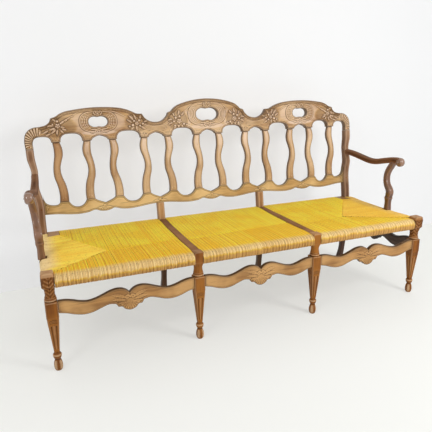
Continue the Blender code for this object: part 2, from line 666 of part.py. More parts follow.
def slat(name, x, way):
    """A wavy slat. way is the side towards which it sways near its bottom."""
    low, high = SLAT_BOTTOM + FIT_GAP, SLAT_TOP - FIT_GAP
    left, right = [], []
    for up, sway, share in SLAT_shares:
        half = (SLAT_BOTTOM_HALF + (SLAT_TOP_HALF - SLAT_BOTTOM_HALF) * up) * share
        middle = x + way * SLAT_SPREAD * sway
        right.append((middle + half, low + (high - low) * up))
        left.append((middle - half, low + (high - low) * up))
    return board(name, [[*right, *reversed(left)]], SLAT_THICKNESS, SLAT_ROUND, PALE_OAK, BACK)


def bar(name, one, other, look):
    """A straight rail with chamfered edges, given by two opposite corners."""
    piece = keep(name, box_mesh(name, [(one, other)]), look)
    edges = piece.modifiers.new("chamfer", "BEVEL")
    edges.width = RAIL_CHAMFER
    edges.segments = 1
    return piece


def stretcher(name, start_at, end_at, plane, turned=False):
    """A wavy stretcher along X at y = plane, or along Y at x = plane if turned."""
    middle, half = (start_at + end_at) / 2, (end_at - start_at) / 2
    shares = (*STRETCHER_TOP_shares, *STRETCHER_LOW_shares)
    right = [(half * w, LEG_BLOCK_LOW + LEG_BLOCK_TALL * h) for w, h in shares]
    loop = [(middle + x, z) for x, z in mirrored(right)]
    piece = board(name, [loop], STRETCHER_THICKNESS, STRETCHER_ROUND, OAK, turned=turned)
    piece.location = (plane, 0, 0) if turned else (0, plane, 0)
    return piece


def join_along(piece, start_at, end_at, holders, middle, size):
    """Tenons a piece along X into its two holders. middle is the tenons' (y, z), size their (y, z)."""
    for end, into, holder in ((start_at, -1, holders[0]), (end_at, 1, holders[1])):
        one = (end - into * OVERRUN, middle[0] - size[0] / 2, middle[1] - size[1] / 2)
        other = (end + into * TENON_LENGTH, middle[0] + size[0] / 2, middle[1] + size[1] / 2)
        tenon(piece.name + "_" + side_name(into), piece, holder, one, other)


def join_across(piece, start_at, holders, middle, size):
    """Tenons a piece along Y into a front leg and a back post. middle is (x, z), size (x, z)."""
    ends = ((start_at, -1, holders[0], "_front"), (POST_FRONT, 1, holders[1], "_back"))
    for end, into, holder, tag in ends:
        one = (middle[0] - size[0] / 2, end - into * OVERRUN, middle[1] - size[1] / 2)
        other = (middle[0] + size[0] / 2, end + into * CROSS_TENON_LENGTH, middle[1] + size[1] / 2)
        tenon(piece.name + tag, piece, holder, one, other)


def raise_corner(piece, side):
    """The bare corner block on the outer end of an outer back rail, nearly level with the rush."""
    outer = END_POST_X - POST_WIDTH / 2 - FIT_GAP
    inner = outer + FIT_GAP - BARE_CORNER + RUSH_GAP
    join(piece, boxes(piece.name + "_corner", [(
        (side * inner, POST_FRONT - CORNER_FORWARD, RAIL_TOP - RAIL_HEIGHT + RAIL_CHAMFER),
        (side * outer, SEAT_DEPTH + RAIL_THICKNESS / 2 - RAIL_CHAMFER, SEAT_HEIGHT - CORNER_SINK),
    )]))


def long_rails(legs, posts):
    """Front and back seat rails, from leg to leg and from post to post."""
    size = (TENON_THICKNESS, TENON_HEIGHT)
    leg_halves = [LEG_TOP_HALF] * len(legs)
    rows = (("front", legs, LEG_PLACES, leg_halves, 0), ("back", posts, POST_PLACES, POST_HALVES, SEAT_DEPTH))
    for row, holders, places, halves, y in rows:
        for i, bay in enumerate(BAYS):
            start_at, end_at = places[i] + halves[i], places[i + 1] - halves[i + 1]
            piece = bar(
                row + "_rail_" + bay,
                (start_at + FIT_GAP, y - RAIL_THICKNESS / 2, RAIL_TOP - RAIL_HEIGHT),
                (end_at - FIT_GAP, y + RAIL_THICKNESS / 2, RAIL_TOP),
                OAK,
            )
            join_along(piece, start_at, end_at, holders[i:i + 2], (y, RAIL_MIDDLE), size)
            if row == "back" and bay != "middle":
                raise_corner(piece, -1 if bay == "left" else 1)


def cross_rail(name, x, width, low, high, holders, look):
    piece = bar(
        name,
        (x - width / 2, LEG_TOP_HALF + FIT_GAP, low),
        (x + width / 2, POST_FRONT - FIT_GAP, high),
        look,
    )
    join_across(piece, LEG_TOP_HALF, holders, (x, RAIL_MIDDLE), (TENON_THICKNESS, TENON_HEIGHT))
    return piece


def cross_rails(legs, posts):
    """Side rails and the two dividers. Returns the side rails."""
    sides = []
    for side, i in ((-1, 0), (1, 3)):
        name = "side_rail_" + side_name(side)
        holders = (legs[i], posts[i])
        low = RAIL_TOP - RAIL_HEIGHT
        sides.append(cross_rail(name, side * SIDE_X, RAIL_THICKNESS, low, RAIL_TOP, holders, OAK))
    for side, i in ((-1, 1), (1, 2)):
        name = "divider_" + side_name(side)
        holders = (legs[i], posts[i])
        top = SEAT_HEIGHT + DIVIDER_STAND
        low = top - DIVIDER_HEIGHT
        cross_rail(name, side * MIDDLE_LEG_X, DIVIDER_WIDTH, low, top, holders, DARK_OAK)
    return sides


def stretchers(legs, posts):
    """Wavy front and side stretchers, and plain back stretchers."""
    plane = STRETCHER_SET_BACK + STRETCHER_THICKNESS / 2 - LEG_BLOCK_HALF
    size = (TENON_THICKNESS, STRETCHER_TENON_HEIGHT)
    for i, bay in enumerate(BAYS):
        start_at, end_at = LEG_PLACES[i] + LEG_BLOCK_HALF, LEG_PLACES[i + 1] - LEG_BLOCK_HALF
        piece = stretcher("front_stretcher_" + bay, start_at + FIT_GAP, end_at - FIT_GAP, plane)
        join_along(piece, start_at, end_at, legs[i:i + 2], (plane, LEG_BLOCK_MIDDLE), size)
    for i, bay in enumerate(BAYS):
        start_at, end_at = POST_PLACES[i] + POST_HALVES[i], POST_PLACES[i + 1] - POST_HALVES[i + 1]
        thick, tall = STRETCHER_THICKNESS / 2, BACK_STRETCHER_HEIGHT / 2
        piece = bar(
            "back_stretcher_" + bay,
            (start_at + FIT_GAP, SEAT_DEPTH - thick, LEG_BLOCK_MIDDLE - tall),
            (end_at - FIT_GAP, SEAT_DEPTH + thick, LEG_BLOCK_MIDDLE + tall),
            DARK_OAK,
        )
        size = (TENON_THICKNESS, TENON_HEIGHT)
        join_along(piece, start_at, end_at, posts[i:i + 2], (SEAT_DEPTH, LEG_BLOCK_MIDDLE), size)
    for side, i in ((-1, 0), (1, 3)):
        name = "side_stretcher_" + side_name(side)
        piece = stretcher(name, LEG_BLOCK_HALF + FIT_GAP, POST_FRONT - FIT_GAP, side * SIDE_X, turned=True)
        size = (TENON_THICKNESS, STRETCHER_TENON_HEIGHT)
        join_across(piece, LEG_BLOCK_HALF, (legs[i], posts[i]), (side * SIDE_X, LEG_BLOCK_MIDDLE), size)


JOINT_X = END_POST_X + POST_WIDTH * between(END_POST_shares, ARM_JOINT / POST_TOP, 1)
ARM_ROOT = on_back(JOINT_X, ARM_JOINT) + FORWARD * (POST_DEPTH / 2 + FIT_GAP)


def arm_place(along):
    """The right arm's centre line, from its root at the post (0) to its scroll (1)."""
    return Vector((
        ARM_ROOT.x + ARM_OUT * between(ARM_shares, along, 2),
        ARM_ROOT.y + (SCROLL_FORWARD - ARM_ROOT.y) * along,
        ARM_ROOT.z + ARM_DEPTH * between(ARM_shares, along, 1),
    ))


def support_seat():
    """Centre of the flat under the right arm that the support meets, and half its width."""
    half = SUPPORT_WIDTH * SUPPORT_shares[-1][2] / 2
    y = SUPPORT_FORWARD + SUPPORT_WIDTH * SUPPORT_shares[-1][1]
    length = ARM_ROOT.y - SCROLL_FORWARD
    low, middle, high = (arm_place((ARM_ROOT.y - at) / length) for at in (y - half, y, y + half))
    return Vector((middle.x, y, max(low.z, high.z) - ARM_DEPTH / 2 + SEAT_CUT)), half


def mirror_x(point, side):
    return Vector((side * point[0], point[1], point[2]))


def arm(name, side):
    """An arm from the end post to its scroll, with a flat cut under it for its support."""
    stations = [(mirror_x(arm_place(row[0]), side), ARM_WIDTH, ARM_DEPTH) for row in ARM_shares]
    piece = keep(name, path_mesh(name, stations, POST_CHAMFER, FORWARD), DARK_OAK)
    tip = mirror_x((ARM_ROOT.x + ARM_OUT, SCROLL_FORWARD, ARM_ROOT.z - SCROLL_DROP), side)
    reach = Vector((SCROLL_WIDTH / 2, 0, 0))
    join(piece, helper(name + "_scroll", rod(name, tip - reach, tip + reach, SCROLL_RADIUS, SCROLL_SIDES)))
    seat, half = support_seat()
    seat = mirror_x(seat, side)
    wide = Vector((SCROLL_WIDTH, half + FIT_GAP, 0))
    cut(piece, boxes(name + "_flat", [(seat - wide - Vector((0, 0, ARM_DEPTH)), seat + wide)]))
    return piece


def arm_support(name, side):
    """An arm support from the side rail to the arm, with a lap over the rail's outer face."""
    seat = support_seat()[0]
    low, high = RAIL_TOP + FIT_GAP, seat.z - FIT_GAP
    stations = []
    for up, sway, share in SUPPORT_shares:
        x = SUPPORT_X + (seat.x - SUPPORT_X) * up ** 2
        centre = (side * x, SUPPORT_FORWARD + SUPPORT_WIDTH * sway, low + (high - low) * up)
        stations.append((centre, SUPPORT_WIDTH * share, SUPPORT_WIDTH * share))
    upright = (0, 0, 1)
    piece = keep(name, path_mesh(name, stations, POST_CHAMFER, upright, upright), DARK_OAK)
    inner = side * (SIDE_X + RAIL_THICKNESS / 2 + FIT_GAP)
    outer = side * (SUPPORT_X + SUPPORT_WIDTH / 2 - POST_CHAMFER)
    deep = SUPPORT_WIDTH / 2 - POST_CHAMFER
    join(piece, boxes(name + "_lap", [(
        (inner, SUPPORT_FORWARD - deep, RAIL_TOP - LAP_HEIGHT),
        (outer, SUPPORT_FORWARD + deep, RAIL_TOP + OVERRUN),
    )]))
    return piece


def arms(posts, rails):
    """Arms tenoned into the end posts, and their supports tenoned into the arms and the side rails."""
    for side, post, rail in ((-1, posts[0], rails[0]), (1, posts[3], rails[1])):
        piece = arm("arm_" + side_name(side), side)
        support = arm_support("arm_support_" + side_name(side), side)
        x, face = side * JOINT_X, -POST_DEPTH / 2
        thin, tall = TENON_THICKNESS / 2, ARM_TENON_HEIGHT / 2
        tenon(
            piece.name + "_root", piece, post,
            (x - thin, face - OVERRUN, ARM_JOINT - tall),
            (x + thin, face + ARM_TENON_LENGTH, ARM_JOINT + tall),
            BACK,
        )
        pin = face + ARM_TENON_LENGTH / 2
        reach = POST_WIDTH * between(END_POST_shares, ARM_JOINT / POST_TOP, 2) / 2 + PEG_STAND
        ends = ((x - reach, pin, ARM_JOINT), (x + reach, pin, ARM_JOINT))
        peg("arm_peg_" + side_name(side), *ends, [post, piece])
        seat = mirror_x(support_seat()[0], side)
        tenon(
            support.name + "_top", support, piece,
            seat - Vector((thin, thin, OVERRUN)),
            seat + Vector((thin, thin, SUPPORT_TENON_LENGTH)),
        )
        inner, outer = side * (SUPPORT_X - SUPPORT_WIDTH / 2), side * (SIDE_X + RAIL_THICKNESS / 2)
        middle, thick = (inner + outer) / 2, FOOT_TENON_THICKNESS / 2
        tenon(
            support.name + "_foot", support, rail,
            (middle - thick, SUPPORT_FORWARD - thin, RAIL_TOP - SUPPORT_TENON_LENGTH),
            (middle + thick, SUPPORT_FORWARD + thin, RAIL_TOP + OVERRUN),
        )


def peg(name, start_point, end_point, holes):
    """A round oak peg in the back, through the pieces that it pins."""
    start_point, end_point = Vector(start_point), Vector(end_point)
    past = (end_point - start_point).normalized() * OVERRUN
    keep(name, rod(name, start_point, end_point, PEG_RADIUS, PEG_SIDES), OAK, BACK)
    hole = rod(name + "_hole", start_point - past, end_point + past, PEG_RADIUS + FIT_GAP, PEG_SIDES)
    tool = helper(name + "_hole", hole, BACK)
    for piece in holes:
        cut(piece, tool)


def join_slats(crest, lower, slats):
    """Tenons of the slats in the crest rail and in the lower rail."""
    wide, thick = SLAT_TENON_WIDTH / 2, SLAT_TENON_THICKNESS / 2
    tops, feet = [], []
    for x, foot, piece in zip(SLAT_TOPS, SLAT_FEET, slats):
        tops.append(((x - wide, -thick, SLAT_TOP - OVERRUN), (x + wide, thick, SLAT_TOP + SLAT_TENON_LENGTH)))
        feet.append((
            (foot - wide, -thick, SLAT_BOTTOM - SLAT_TENON_LENGTH),
            (foot + wide, thick, SLAT_BOTTOM + OVERRUN),
        ))
        join(piece, boxes(piece.name + "_tenons", [tops[-1], feet[-1]], BACK))
    cut(crest, boxes("crest_mortises", tops, BACK, FIT_GAP))
    cut(lower, boxes("lower_mortises", feet, BACK, FIT_GAP))


def join_posts(posts, crest, lower):
    """Pegged tenons of the posts in the two long rails, and of the lower rail in the end posts."""
    wide, thick = POST_TENON_WIDTH / 2, POST_TENON_THICKNESS / 2
    for side, post in ((-1, posts[0]), (1, posts[3])):
        x, top = side * POST_TOP_X, POST_TOP + POST_TENON_LENGTH
        low = POST_TOP - OVERRUN
        tenon(post.name + "_top", post, crest, (x - wide, -thick, low), (x + wide, thick, top), BACK)
        pin = POST_TOP + POST_TENON_LENGTH / 2
        reach = CREST_THICKNESS / 2 + PEG_STAND
        peg("crest_peg_" + side_name(side), (x, -reach, pin), (x, reach, pin), [crest, post])
        inner = side * (END_POST_X - POST_WIDTH / 2)
        level, tall = (LOWER_RAIL_BOTTOM + SLAT_BOTTOM) / 2, END_TENON_HEIGHT / 2
        tenon(
            "lower_back_rail_" + side_name(side), lower, post,
            (inner - side * OVERRUN, -thick, level - tall),
            (inner + side * POST_TENON_LENGTH, thick, level + tall),
            BACK,
        )
        pin = inner + side * POST_TENON_LENGTH / 2
        reach = POST_DEPTH / 2 + PEG_STAND
        peg("rail_peg_" + side_name(side), (pin, -reach, level), (pin, reach, level), [post, lower])
    for side, post in ((-1, posts[1]), (1, posts[2])):
        x, top = side * MIDDLE_LEG_X, LOWER_RAIL_BOTTOM + SLAT_TENON_LENGTH
        low = LOWER_RAIL_BOTTOM - OVERRUN
        tenon(post.name + "_top", post, lower, (x - wide, -thick, low), (x + wide, thick, top), BACK)
        pin = LOWER_RAIL_BOTTOM + SLAT_TENON_LENGTH / 2
        reach = LOWER_RAIL_THICKNESS / 2 + PEG_STAND
        peg("post_peg_" + side_name(side), (x, -reach, pin), (x, reach, pin), [lower, post])


def rush_ring(x, inset, hollow):
    """A section of the rush at x. inset makes it smaller all round, and hollow lifts its underside."""
    depth, low = SEAT_DEPTH + RUSH_FRONT + RUSH_BACK, SEAT_HEIGHT - RUSH_THICKNESS
    outline = [(way * depth, up * RUSH_THICKNESS) for way, up in RUSH_TOP_shares]
    outline += [(way * depth, hollow * up) for way, up in RUSH_UNDER_shares]
    outline += [(way * depth, up * RUSH_THICKNESS) for way, up in RUSH_LIP_shares]
    thinner, shorter = 1 - 2 * inset / RUSH_THICKNESS, 1 - 2 * inset / depth
    ring = []
    for along, up in outline:
        y = (along - depth / 2) * shorter + depth / 2 - RUSH_FRONT
        ring.append((x, y, low + (up - RUSH_THICKNESS / 2) * thinner + RUSH_THICKNESS / 2))
    return ring


def end_panel(name, side, outer, edge):
    """An end bay's rush, with a round roll over the side rail."""
    rings = []
    for way, inset in ROLL_shares:
        rings.append(rush_ring(side * (edge - ROLL_LENGTH * way), RUSH_THICKNESS * inset, 0))
    inside = SIDE_X - RAIL_THICKNESS / 2 - RUSH_SIDE
    rings.append(rush_ring(side * inside, 0, 0))
    rings.append(rush_ring(side * (inside - RAIL_HEIGHT), 0, RUSH_HOLLOW))
    rings.append(rush_ring(side * outer, 0, RUSH_HOLLOW))
    return keep(name, loft_mesh(name, rings), RUSH)


def rush_corner(x_one, x_other, y_one, y_other):
    """A notch through the rush's whole thickness."""
    low = SEAT_HEIGHT - RUSH_THICKNESS - OVERRUN
    return ((x_one, y_one, low), (x_other, y_other, SEAT_HEIGHT + OVERRUN))


def rail_tunnels(x_one, x_other):
    """Room for the front and back rails inside the rush, as two cuboids along X."""
    half, tall = RAIL_THICKNESS / 2 + RUSH_GAP, RAIL_HEIGHT / 2 + RUSH_GAP
    return [
        ((x_one, y - half, RAIL_MIDDLE - tall), (x_other, y + half, RAIL_MIDDLE + tall))
        for y in (0, SEAT_DEPTH)
    ]


def rush():
    """Three rush panels, cut where the legs, posts, supports and rails pass."""
    edge = END_LEG_X + RUSH_SIDE
    inner, outer = MIDDLE_LEG_X - DIVIDER_WIDTH / 2 - RUSH_GAP, MIDDLE_LEG_X + DIVIDER_WIDTH / 2 + RUSH_GAP
    leg_half, post_half = LEG_TOP_HALF + RUSH_GAP, MIDDLE_POST_WIDTH / 2 + RUSH_GAP
    support_half = SUPPORT_WIDTH / 2 + RUSH_GAP
    post_front, back_end = POST_FRONT - RUSH_GAP, SEAT_DEPTH + RUSH_BACK + OVERRUN
    front_end = -RUSH_FRONT - OVERRUN
    bare_outer = END_POST_X - POST_WIDTH / 2 + RUSH_GAP
    bare_inner = END_POST_X - POST_WIDTH / 2 - BARE_CORNER

    def middle_notches(x):
        return [
            rush_corner(x - leg_half, x + leg_half, front_end, leg_half),
            rush_corner(x - post_half, x + post_half, post_front, back_end),
        ]

    panel = keep("rush_middle", loft_mesh("rush_middle", [
        rush_ring(-inner, 0, RUSH_HOLLOW), rush_ring(inner, 0, RUSH_HOLLOW),
    ]), RUSH)
    cut(panel, boxes("rush_middle_notches", [*middle_notches(-MIDDLE_LEG_X), *middle_notches(MIDDLE_LEG_X)]))
    cut(panel, boxes("rush_middle_tunnels", rail_tunnels(-inner - OVERRUN, inner + OVERRUN)))
    for side in (-1, 1):
        name = "rush_" + side_name(side)
        panel = end_panel(name, side, outer, edge)
        past = side * (edge + OVERRUN)
        cut(panel, boxes(name + "_notches", [
            *middle_notches(side * MIDDLE_LEG_X),
            rush_corner(side * (END_LEG_X - leg_half), past, front_end, leg_half),
            rush_corner(side * bare_inner, past, post_front, back_end),
            rush_corner(
                side * (SUPPORT_X - support_half), past,
                SUPPORT_FORWARD - support_half, SUPPORT_FORWARD + support_half,
            ),
        ]))
        cut(panel, boxes(name + "_bare_corner", [
            rush_corner(side * bare_inner, side * bare_outer, post_front - CORNER_FORWARD, SEAT_DEPTH),
        ]))
        half, tall = RAIL_THICKNESS / 2 + RUSH_GAP, RAIL_HEIGHT / 2 + RUSH_GAP
        side_tunnel = (
            (side * SIDE_X - half, half + OVERRUN, RAIL_MIDDLE - tall),
            (side * SIDE_X + half, SEAT_DEPTH - half - OVERRUN, RAIL_MIDDLE + tall),
        )
        tunnels = [*rail_tunnels(side * (outer - OVERRUN), side * END_LEG_X), side_tunnel]
        cut(panel, boxes(name + "_tunnels", tunnels))


def build():
    legs = [
        front_leg("front_leg_1", -END_LEG_X, -1),
        front_leg("front_leg_2", -MIDDLE_LEG_X, 0),
        front_leg("front_leg_3", MIDDLE_LEG_X, 0),
        front_leg("front_leg_4", END_LEG_X, 1),
    ]
    posts = [
        end_post("back_post_left", -1),
        middle_post("middle_post_left", -MIDDLE_LEG_X),
        middle_post("middle_post_right", MIDDLE_LEG_X),
        end_post("back_post_right", 1),
    ]
    crest, lower = crest_rail(), lower_back_rail()
    join_slats(crest, lower, [slat("slat_%02d" % (i + 1), x, way) for i, (x, way) in enumerate(SLATS)])
    join_posts(posts, crest, lower)
    long_rails(legs, posts)
    arms(posts, cross_rails(legs, posts))
    stretchers(legs, posts)
    rush()


build()
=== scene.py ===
"""Three-seat settee in oak with rush seats: the carved and woven pieces, materials, light and camera.

Metres, in the part's frame. The sizes repeat those of the part, with y measured from its origin.
"""

from math import cos, pi, radians, sin

import bpy
import numpy as np
from mathutils import Euler, Matrix, Vector
from mathutils.geometry import delaunay_2d_cdt
from mathutils.kdtree import KDTree


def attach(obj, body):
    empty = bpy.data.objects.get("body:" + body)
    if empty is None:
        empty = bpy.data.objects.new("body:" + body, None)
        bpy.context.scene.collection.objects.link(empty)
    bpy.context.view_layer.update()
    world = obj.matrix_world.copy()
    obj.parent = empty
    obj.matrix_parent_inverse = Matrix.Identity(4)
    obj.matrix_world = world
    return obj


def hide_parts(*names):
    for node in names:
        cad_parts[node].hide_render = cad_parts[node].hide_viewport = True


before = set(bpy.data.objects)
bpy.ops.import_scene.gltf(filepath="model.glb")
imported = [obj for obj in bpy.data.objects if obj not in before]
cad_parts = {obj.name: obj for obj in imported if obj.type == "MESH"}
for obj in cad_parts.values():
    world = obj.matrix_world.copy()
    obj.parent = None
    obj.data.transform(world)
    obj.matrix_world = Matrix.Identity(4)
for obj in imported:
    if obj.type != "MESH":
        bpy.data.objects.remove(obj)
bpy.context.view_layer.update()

# Sizes of the part
MIDDLE_LEG_X = 0.3275
END_LEG_X = 1.0005
END_POST_X = 0.9925
SIDE_X = 0.9965
SEAT_HEIGHT = 0.455
SEAT_DEPTH = 0.638
FRONT_Y = -0.3532           # centre line of the front legs
BACK_Y = FRONT_Y + SEAT_DEPTH
RAKE = radians(7.1)
BEND_HEIGHT = 0.46
FIT_GAP = 0.0003
CREST_THICK = 0.032
LOWER_RAIL_THICK = 0.026
SLAT_THICK = 0.0178             # less than the solid's, as the crown stands out in front
STRETCHER_THICK = 0.02          # less than the solid's, as the bead stands out in front
LEG_BLOCK_LOW = 0.262
LEG_BLOCK_HIGH = 0.335
LEG_BLOCK_HALF = 0.0265
LEG_TOP_HIGH = 0.46
KNEE_HIGH = 0.469
KNEE_OUT = 0.008
POST_DEPTH = 0.044
POST_WIDTH = 0.042
MIDDLE_POST_WIDTH = 0.04
POST_TOP = 0.4434
FOOT_SPLAY = 0.028
PAIR_SPACING = 0.32
END_PAIR = 0.942
SLAT_SPREAD = 0.0695
SLAT_TOP = 0.4756
SLAT_BOTTOM = 0.1532
SLAT_TOP_HALF = 0.019
SLAT_BOTTOM_HALF = 0.024
LOWER_RAIL_BOTTOM = 0.0927
CREST_END = 1.029
CREST_DIP = 0.5593
OUTER_ARCH = 0.653
MIDDLE_ARCH = 0.6822
OUTER_OVAL = (0.64, 0.5755, 0.053, 0.0305)
MIDDLE_OVAL = (0.0, 0.5919, 0.07, 0.039)
RUSH_THICKNESS = 0.055
RUSH_FRONT = 0.03
RUSH_DEPTH = 0.696
SUPPORT_Y = FRONT_Y + 0.2455
SUPPORT_X = 1.015
SUPPORT_WIDTH = 0.036
ARM_JOINT = 0.3
ARM_OUT = 0.038
SCROLL_Y = FRONT_Y + 0.195
SCROLL_RADIUS = 0.0265
SCROLL_WIDTH = 0.039
ARM_WIDTH, ARM_DEPTH, ARM_SAG = 0.036, 0.035, 0.035
SUPPORT_FOOT, SUPPORT_TOP = 0.4453, 0.752
# Rise of a wide and a narrow opening's end, in the crest and in the lower rail
CREST_RISE = {True: 0.043, False: 0.025}
LOWER_RISE = {True: -0.0343, False: -0.0262}
END_RISE = 0.0323
SWEEP_RISE = 0.045              # of the lower rail at the end posts
SCROLL_DROP = 0.012             # of the scroll's middle below the arm's root
SUPPORT_LEAN = 0.88             # of the arm's way out, at the top of its support
SLAT_HEAD_HALF = SLAT_TOP_HALF + 0.0045
BOTH_SIDES = ((-1, "left"), (1, "right"))

# Outlines, as shares of the sizes
MIDDLE_ARCH_shares = (
    (0.14, 0.983), (0.28, 0.938), (0.4, 0.873), (0.51, 0.79), (0.588, 0.7), (0.645, 0.585), (0.686, 0.475),
    (0.748, 0.415), (0.767, 0.31), (0.81, 0.175), (0.87, 0.065), (0.935, 0.012),
)
OUTER_ARCH_shares = (
    (0.03, 0.035), (0.057, 0.12), (0.08, 0.25), (0.104, 0.523), (0.151, 0.56), (0.18, 0.67), (0.22, 0.8),
    (0.275, 0.91), (0.345, 0.975), (0.42, 1.0), (0.5, 0.995), (0.575, 0.948), (0.64, 0.885),
    (0.7, 0.8), (0.738, 0.68), (0.764, 0.553), (0.801, 0.46), (0.81, 0.29), (0.835, 0.115),
    (0.88, 0.02), (0.93, -0.02), (0.965, -0.15), (0.988, -0.35), (1.0, -0.695),
)
WIDE_ARCH_shares = ((0.975, 0.3), (0.84, 0.68), (0.56, 0.92), (0.25, 0.99))
WIDE_FOOT_shares = ((0.88, 0.3), (0.7, 0.62), (0.42, 0.89))
NARROW_ARCH_shares = ((0.92, 0.28), (0.64, 0.64), (0.29, 0.89))
NARROW_FOOT_shares = ((0.84, 0.26), (0.54, 0.56), (0.24, 0.82))
END_SWEEP_shares = (
    (0.035, -0.16), (0.1, -0.26), (0.22, -0.32), (0.4, -0.32), (0.575, -0.26), (0.73, -0.15), (0.845, 0.02),
    (0.925, 0.29), (0.98, 0.64), (1.0, 1.0),
)
LOWER_RAIL_shares = (
    (0.0, -0.2), (0.09, -0.14), (0.155, -0.01), (0.28, -0.16), (0.42, -0.235), (0.58, -0.19), (0.8, -0.05),
)
SLAT_shares = (
    (0.0, 0.15, 1.0), (0.1, 0.175, 0.98), (0.21, 0.14, 0.98), (0.31, 0.05, 0.99), (0.4, -0.08, 0.97),
    (0.49, -0.145, 0.9), (0.58, -0.135, 0.88), (0.68, -0.04, 0.98), (0.78, 0.08, 1.1),
    (0.87, 0.1, 1.13), (1.0, 0.0, 1.0),
)
STRETCHER_TOP_shares = (
    (0.0, 0.82), (0.035, 0.97), (0.09, 1.1), (0.18, 1.16), (0.27, 1.1), (0.38, 0.93), (0.49, 0.77),
    (0.6, 0.7), (0.7, 0.77), (0.8, 0.91), (0.9, 1.01), (1.0, 1.03),
)
STRETCHER_LOW_shares = (
    (1.0, 0.27), (0.9, 0.17), (0.78, -0.01), (0.66, -0.11), (0.54, -0.07), (0.42, 0.1), (0.3, 0.24),
    (0.21, 0.19), (0.175, -0.04), (0.12, -0.07), (0.09, -0.22), (0.04, -0.33), (0.0, -0.36),
)
BACK_LEG_shares = (
    (0.0, 1.0, 0.88), (0.05, 0.76, 0.84), (0.12, 0.46, 0.77), (0.19, 0.26, 0.75), (0.3, 0.09, 0.82),
    (0.42, 0.01, 0.94), (0.5, 0.0, 1.0), (1.0, 0.0, 1.0),
)
END_POST_shares = (
    (0.1, 0.0, 1.0), (0.386, 0.0, 1.0), (0.45, 0.12, 1.0), (0.523, 0.286, 1.0),
    (0.6, 0.25, 0.92), (0.67, 0.17, 0.84), (0.75, 0.12, 0.81), (0.82, 0.24, 0.87), (0.886, 0.36, 0.95),
    (0.94, 0.38, 0.95), (1.0, 0.38, 0.95),
)
ARM_shares = (
    (0.0, 0.0, 0.0), (0.08, -0.05, 0.02), (0.2, -0.23, 0.06), (0.29, -0.44, 0.13), (0.38, -0.66, 0.22),
    (0.46, -0.84, 0.3), (0.54, -0.91, 0.38), (0.62, -0.82, 0.49), (0.7, -0.6, 0.6), (0.78, -0.37, 0.71),
    (0.86, -0.18, 0.82), (0.94, -0.09, 0.92), (1.0, -0.09, 1.0),
)
SUPPORT_shares = (
    (0.0, 0.0, 1.0), (0.225, 0.0, 1.0), (0.24, 0.0, 1.07), (0.265, -0.03, 1.07), (0.28, -0.05, 1.0),
    (0.33, -0.12, 1.03), (0.38, -0.15, 1.05), (0.43, 0.06, 1.0), (0.495, 0.52, 0.95), (0.58, 0.86, 0.92),
    (0.667, 0.96, 0.9), (0.74, 0.9, 0.9), (0.81, 0.68, 0.91), (0.89, 0.27, 0.91),
    (0.96, -0.02, 0.9), (1.0, -0.03, 0.9),
)
# A front leg from the floor up: height, half width, how square it is
FOOT_rows = (
    (0.0, 0.0118, 0), (0.002, 0.014, 0), (0.008, 0.0172, 0), (0.018, 0.0192, 0), (0.029, 0.0194, 0),
    (0.04, 0.0176, 0), (0.049, 0.0146, 0), (0.056, 0.0118, 0), (0.058, 0.0116, 0), (0.0605, 0.015, 0),
    (0.066, 0.0172, 0), (0.0715, 0.0188, 0), (0.077, 0.0192, 0), (0.081, 0.0176, 0), (0.084, 0.015, 0),
    (0.087, 0.0128, 0.3), (0.09, 0.012, 0.7), (0.095, 0.0123, 0.9), (0.244, 0.0246, 1), (0.2605, 0.0256, 1),
    (0.262, 0.0258, 1), (0.2635, 0.0265, 1), (0.333, 0.0265, 1), (0.335, 0.025, 1),
)
NECK_rows = (
    (0.3365, 0.0225, 0.3), (0.338, 0.0232, 0), (0.341, 0.0258, 0), (0.344, 0.0262, 0), (0.347, 0.0254, 0),
    (0.3495, 0.0234, 0), (0.351, 0.0232, 0), (0.354, 0.0242, 0), (0.357, 0.0231, 0), (0.362, 0.022, 0),
    (0.368, 0.0211, 0), (0.375, 0.0206, 0), (0.382, 0.0205, 0.1), (0.389, 0.0208, 0.4),
)
END_NECK_rows = (
    *NECK_rows[:9], (0.362, 0.0222, 0.1), (0.368, 0.0214, 0.2), (0.375, 0.0213, 0.35), (0.382, 0.0217, 0.5),
    (0.389, 0.0223, 0.7),
)


# Curves and outlines

def smooth(points, step, closed=False):
    """Points about a step apart on a smooth curve through the given ones, in any number of dimensions."""
    p = np.asarray(points, float)
    leg = np.roll(p, -1, 0) - p
    if not closed:
        leg = leg[:-1]
    size = np.linalg.norm(leg, axis=1)[:, None]
    way = leg / size
    if closed:
        last, low = np.roll(way, 1, 0), np.roll(size, 1, 0)
        slope = (last * size + way * low) / (size + low)
    else:
        inner = (way[:-1] * size[1:] + way[1:] * size[:-1]) / (size[1:] + size[:-1])
        slope = np.vstack([way[:1], inner, way[-1:]])
    found = []
    for i in range(len(leg)):
        j = (i + 1) % len(p)
        count = max(1, round(size[i, 0] / step))
        t = (np.arange(count) / count)[:, None]
        found.append(
            p[i] * (1 + 2 * t) * (1 - t) ** 2 + slope[i] * size[i] * t * (1 - t) ** 2
            + p[j] * t * t * (3 - 2 * t) + slope[j] * size[i] * t * t * (t - 1)
        )
    if not closed:
        found.append(p[-1:])
    return np.vstack(found)


def smooth_rows(rows, step):
    """Rows whose first column rises, filled in about a step apart."""
    rows = np.asarray(rows, float)
    found = []
    for low, high in zip(rows, rows[1:]):
        count = max(1, int(np.ceil((high[0] - low[0]) / step)))
        t = (np.arange(count) / count)[:, None]
        found.append(low + (high - low) * t)
    return np.vstack([*found, rows[-1:]])


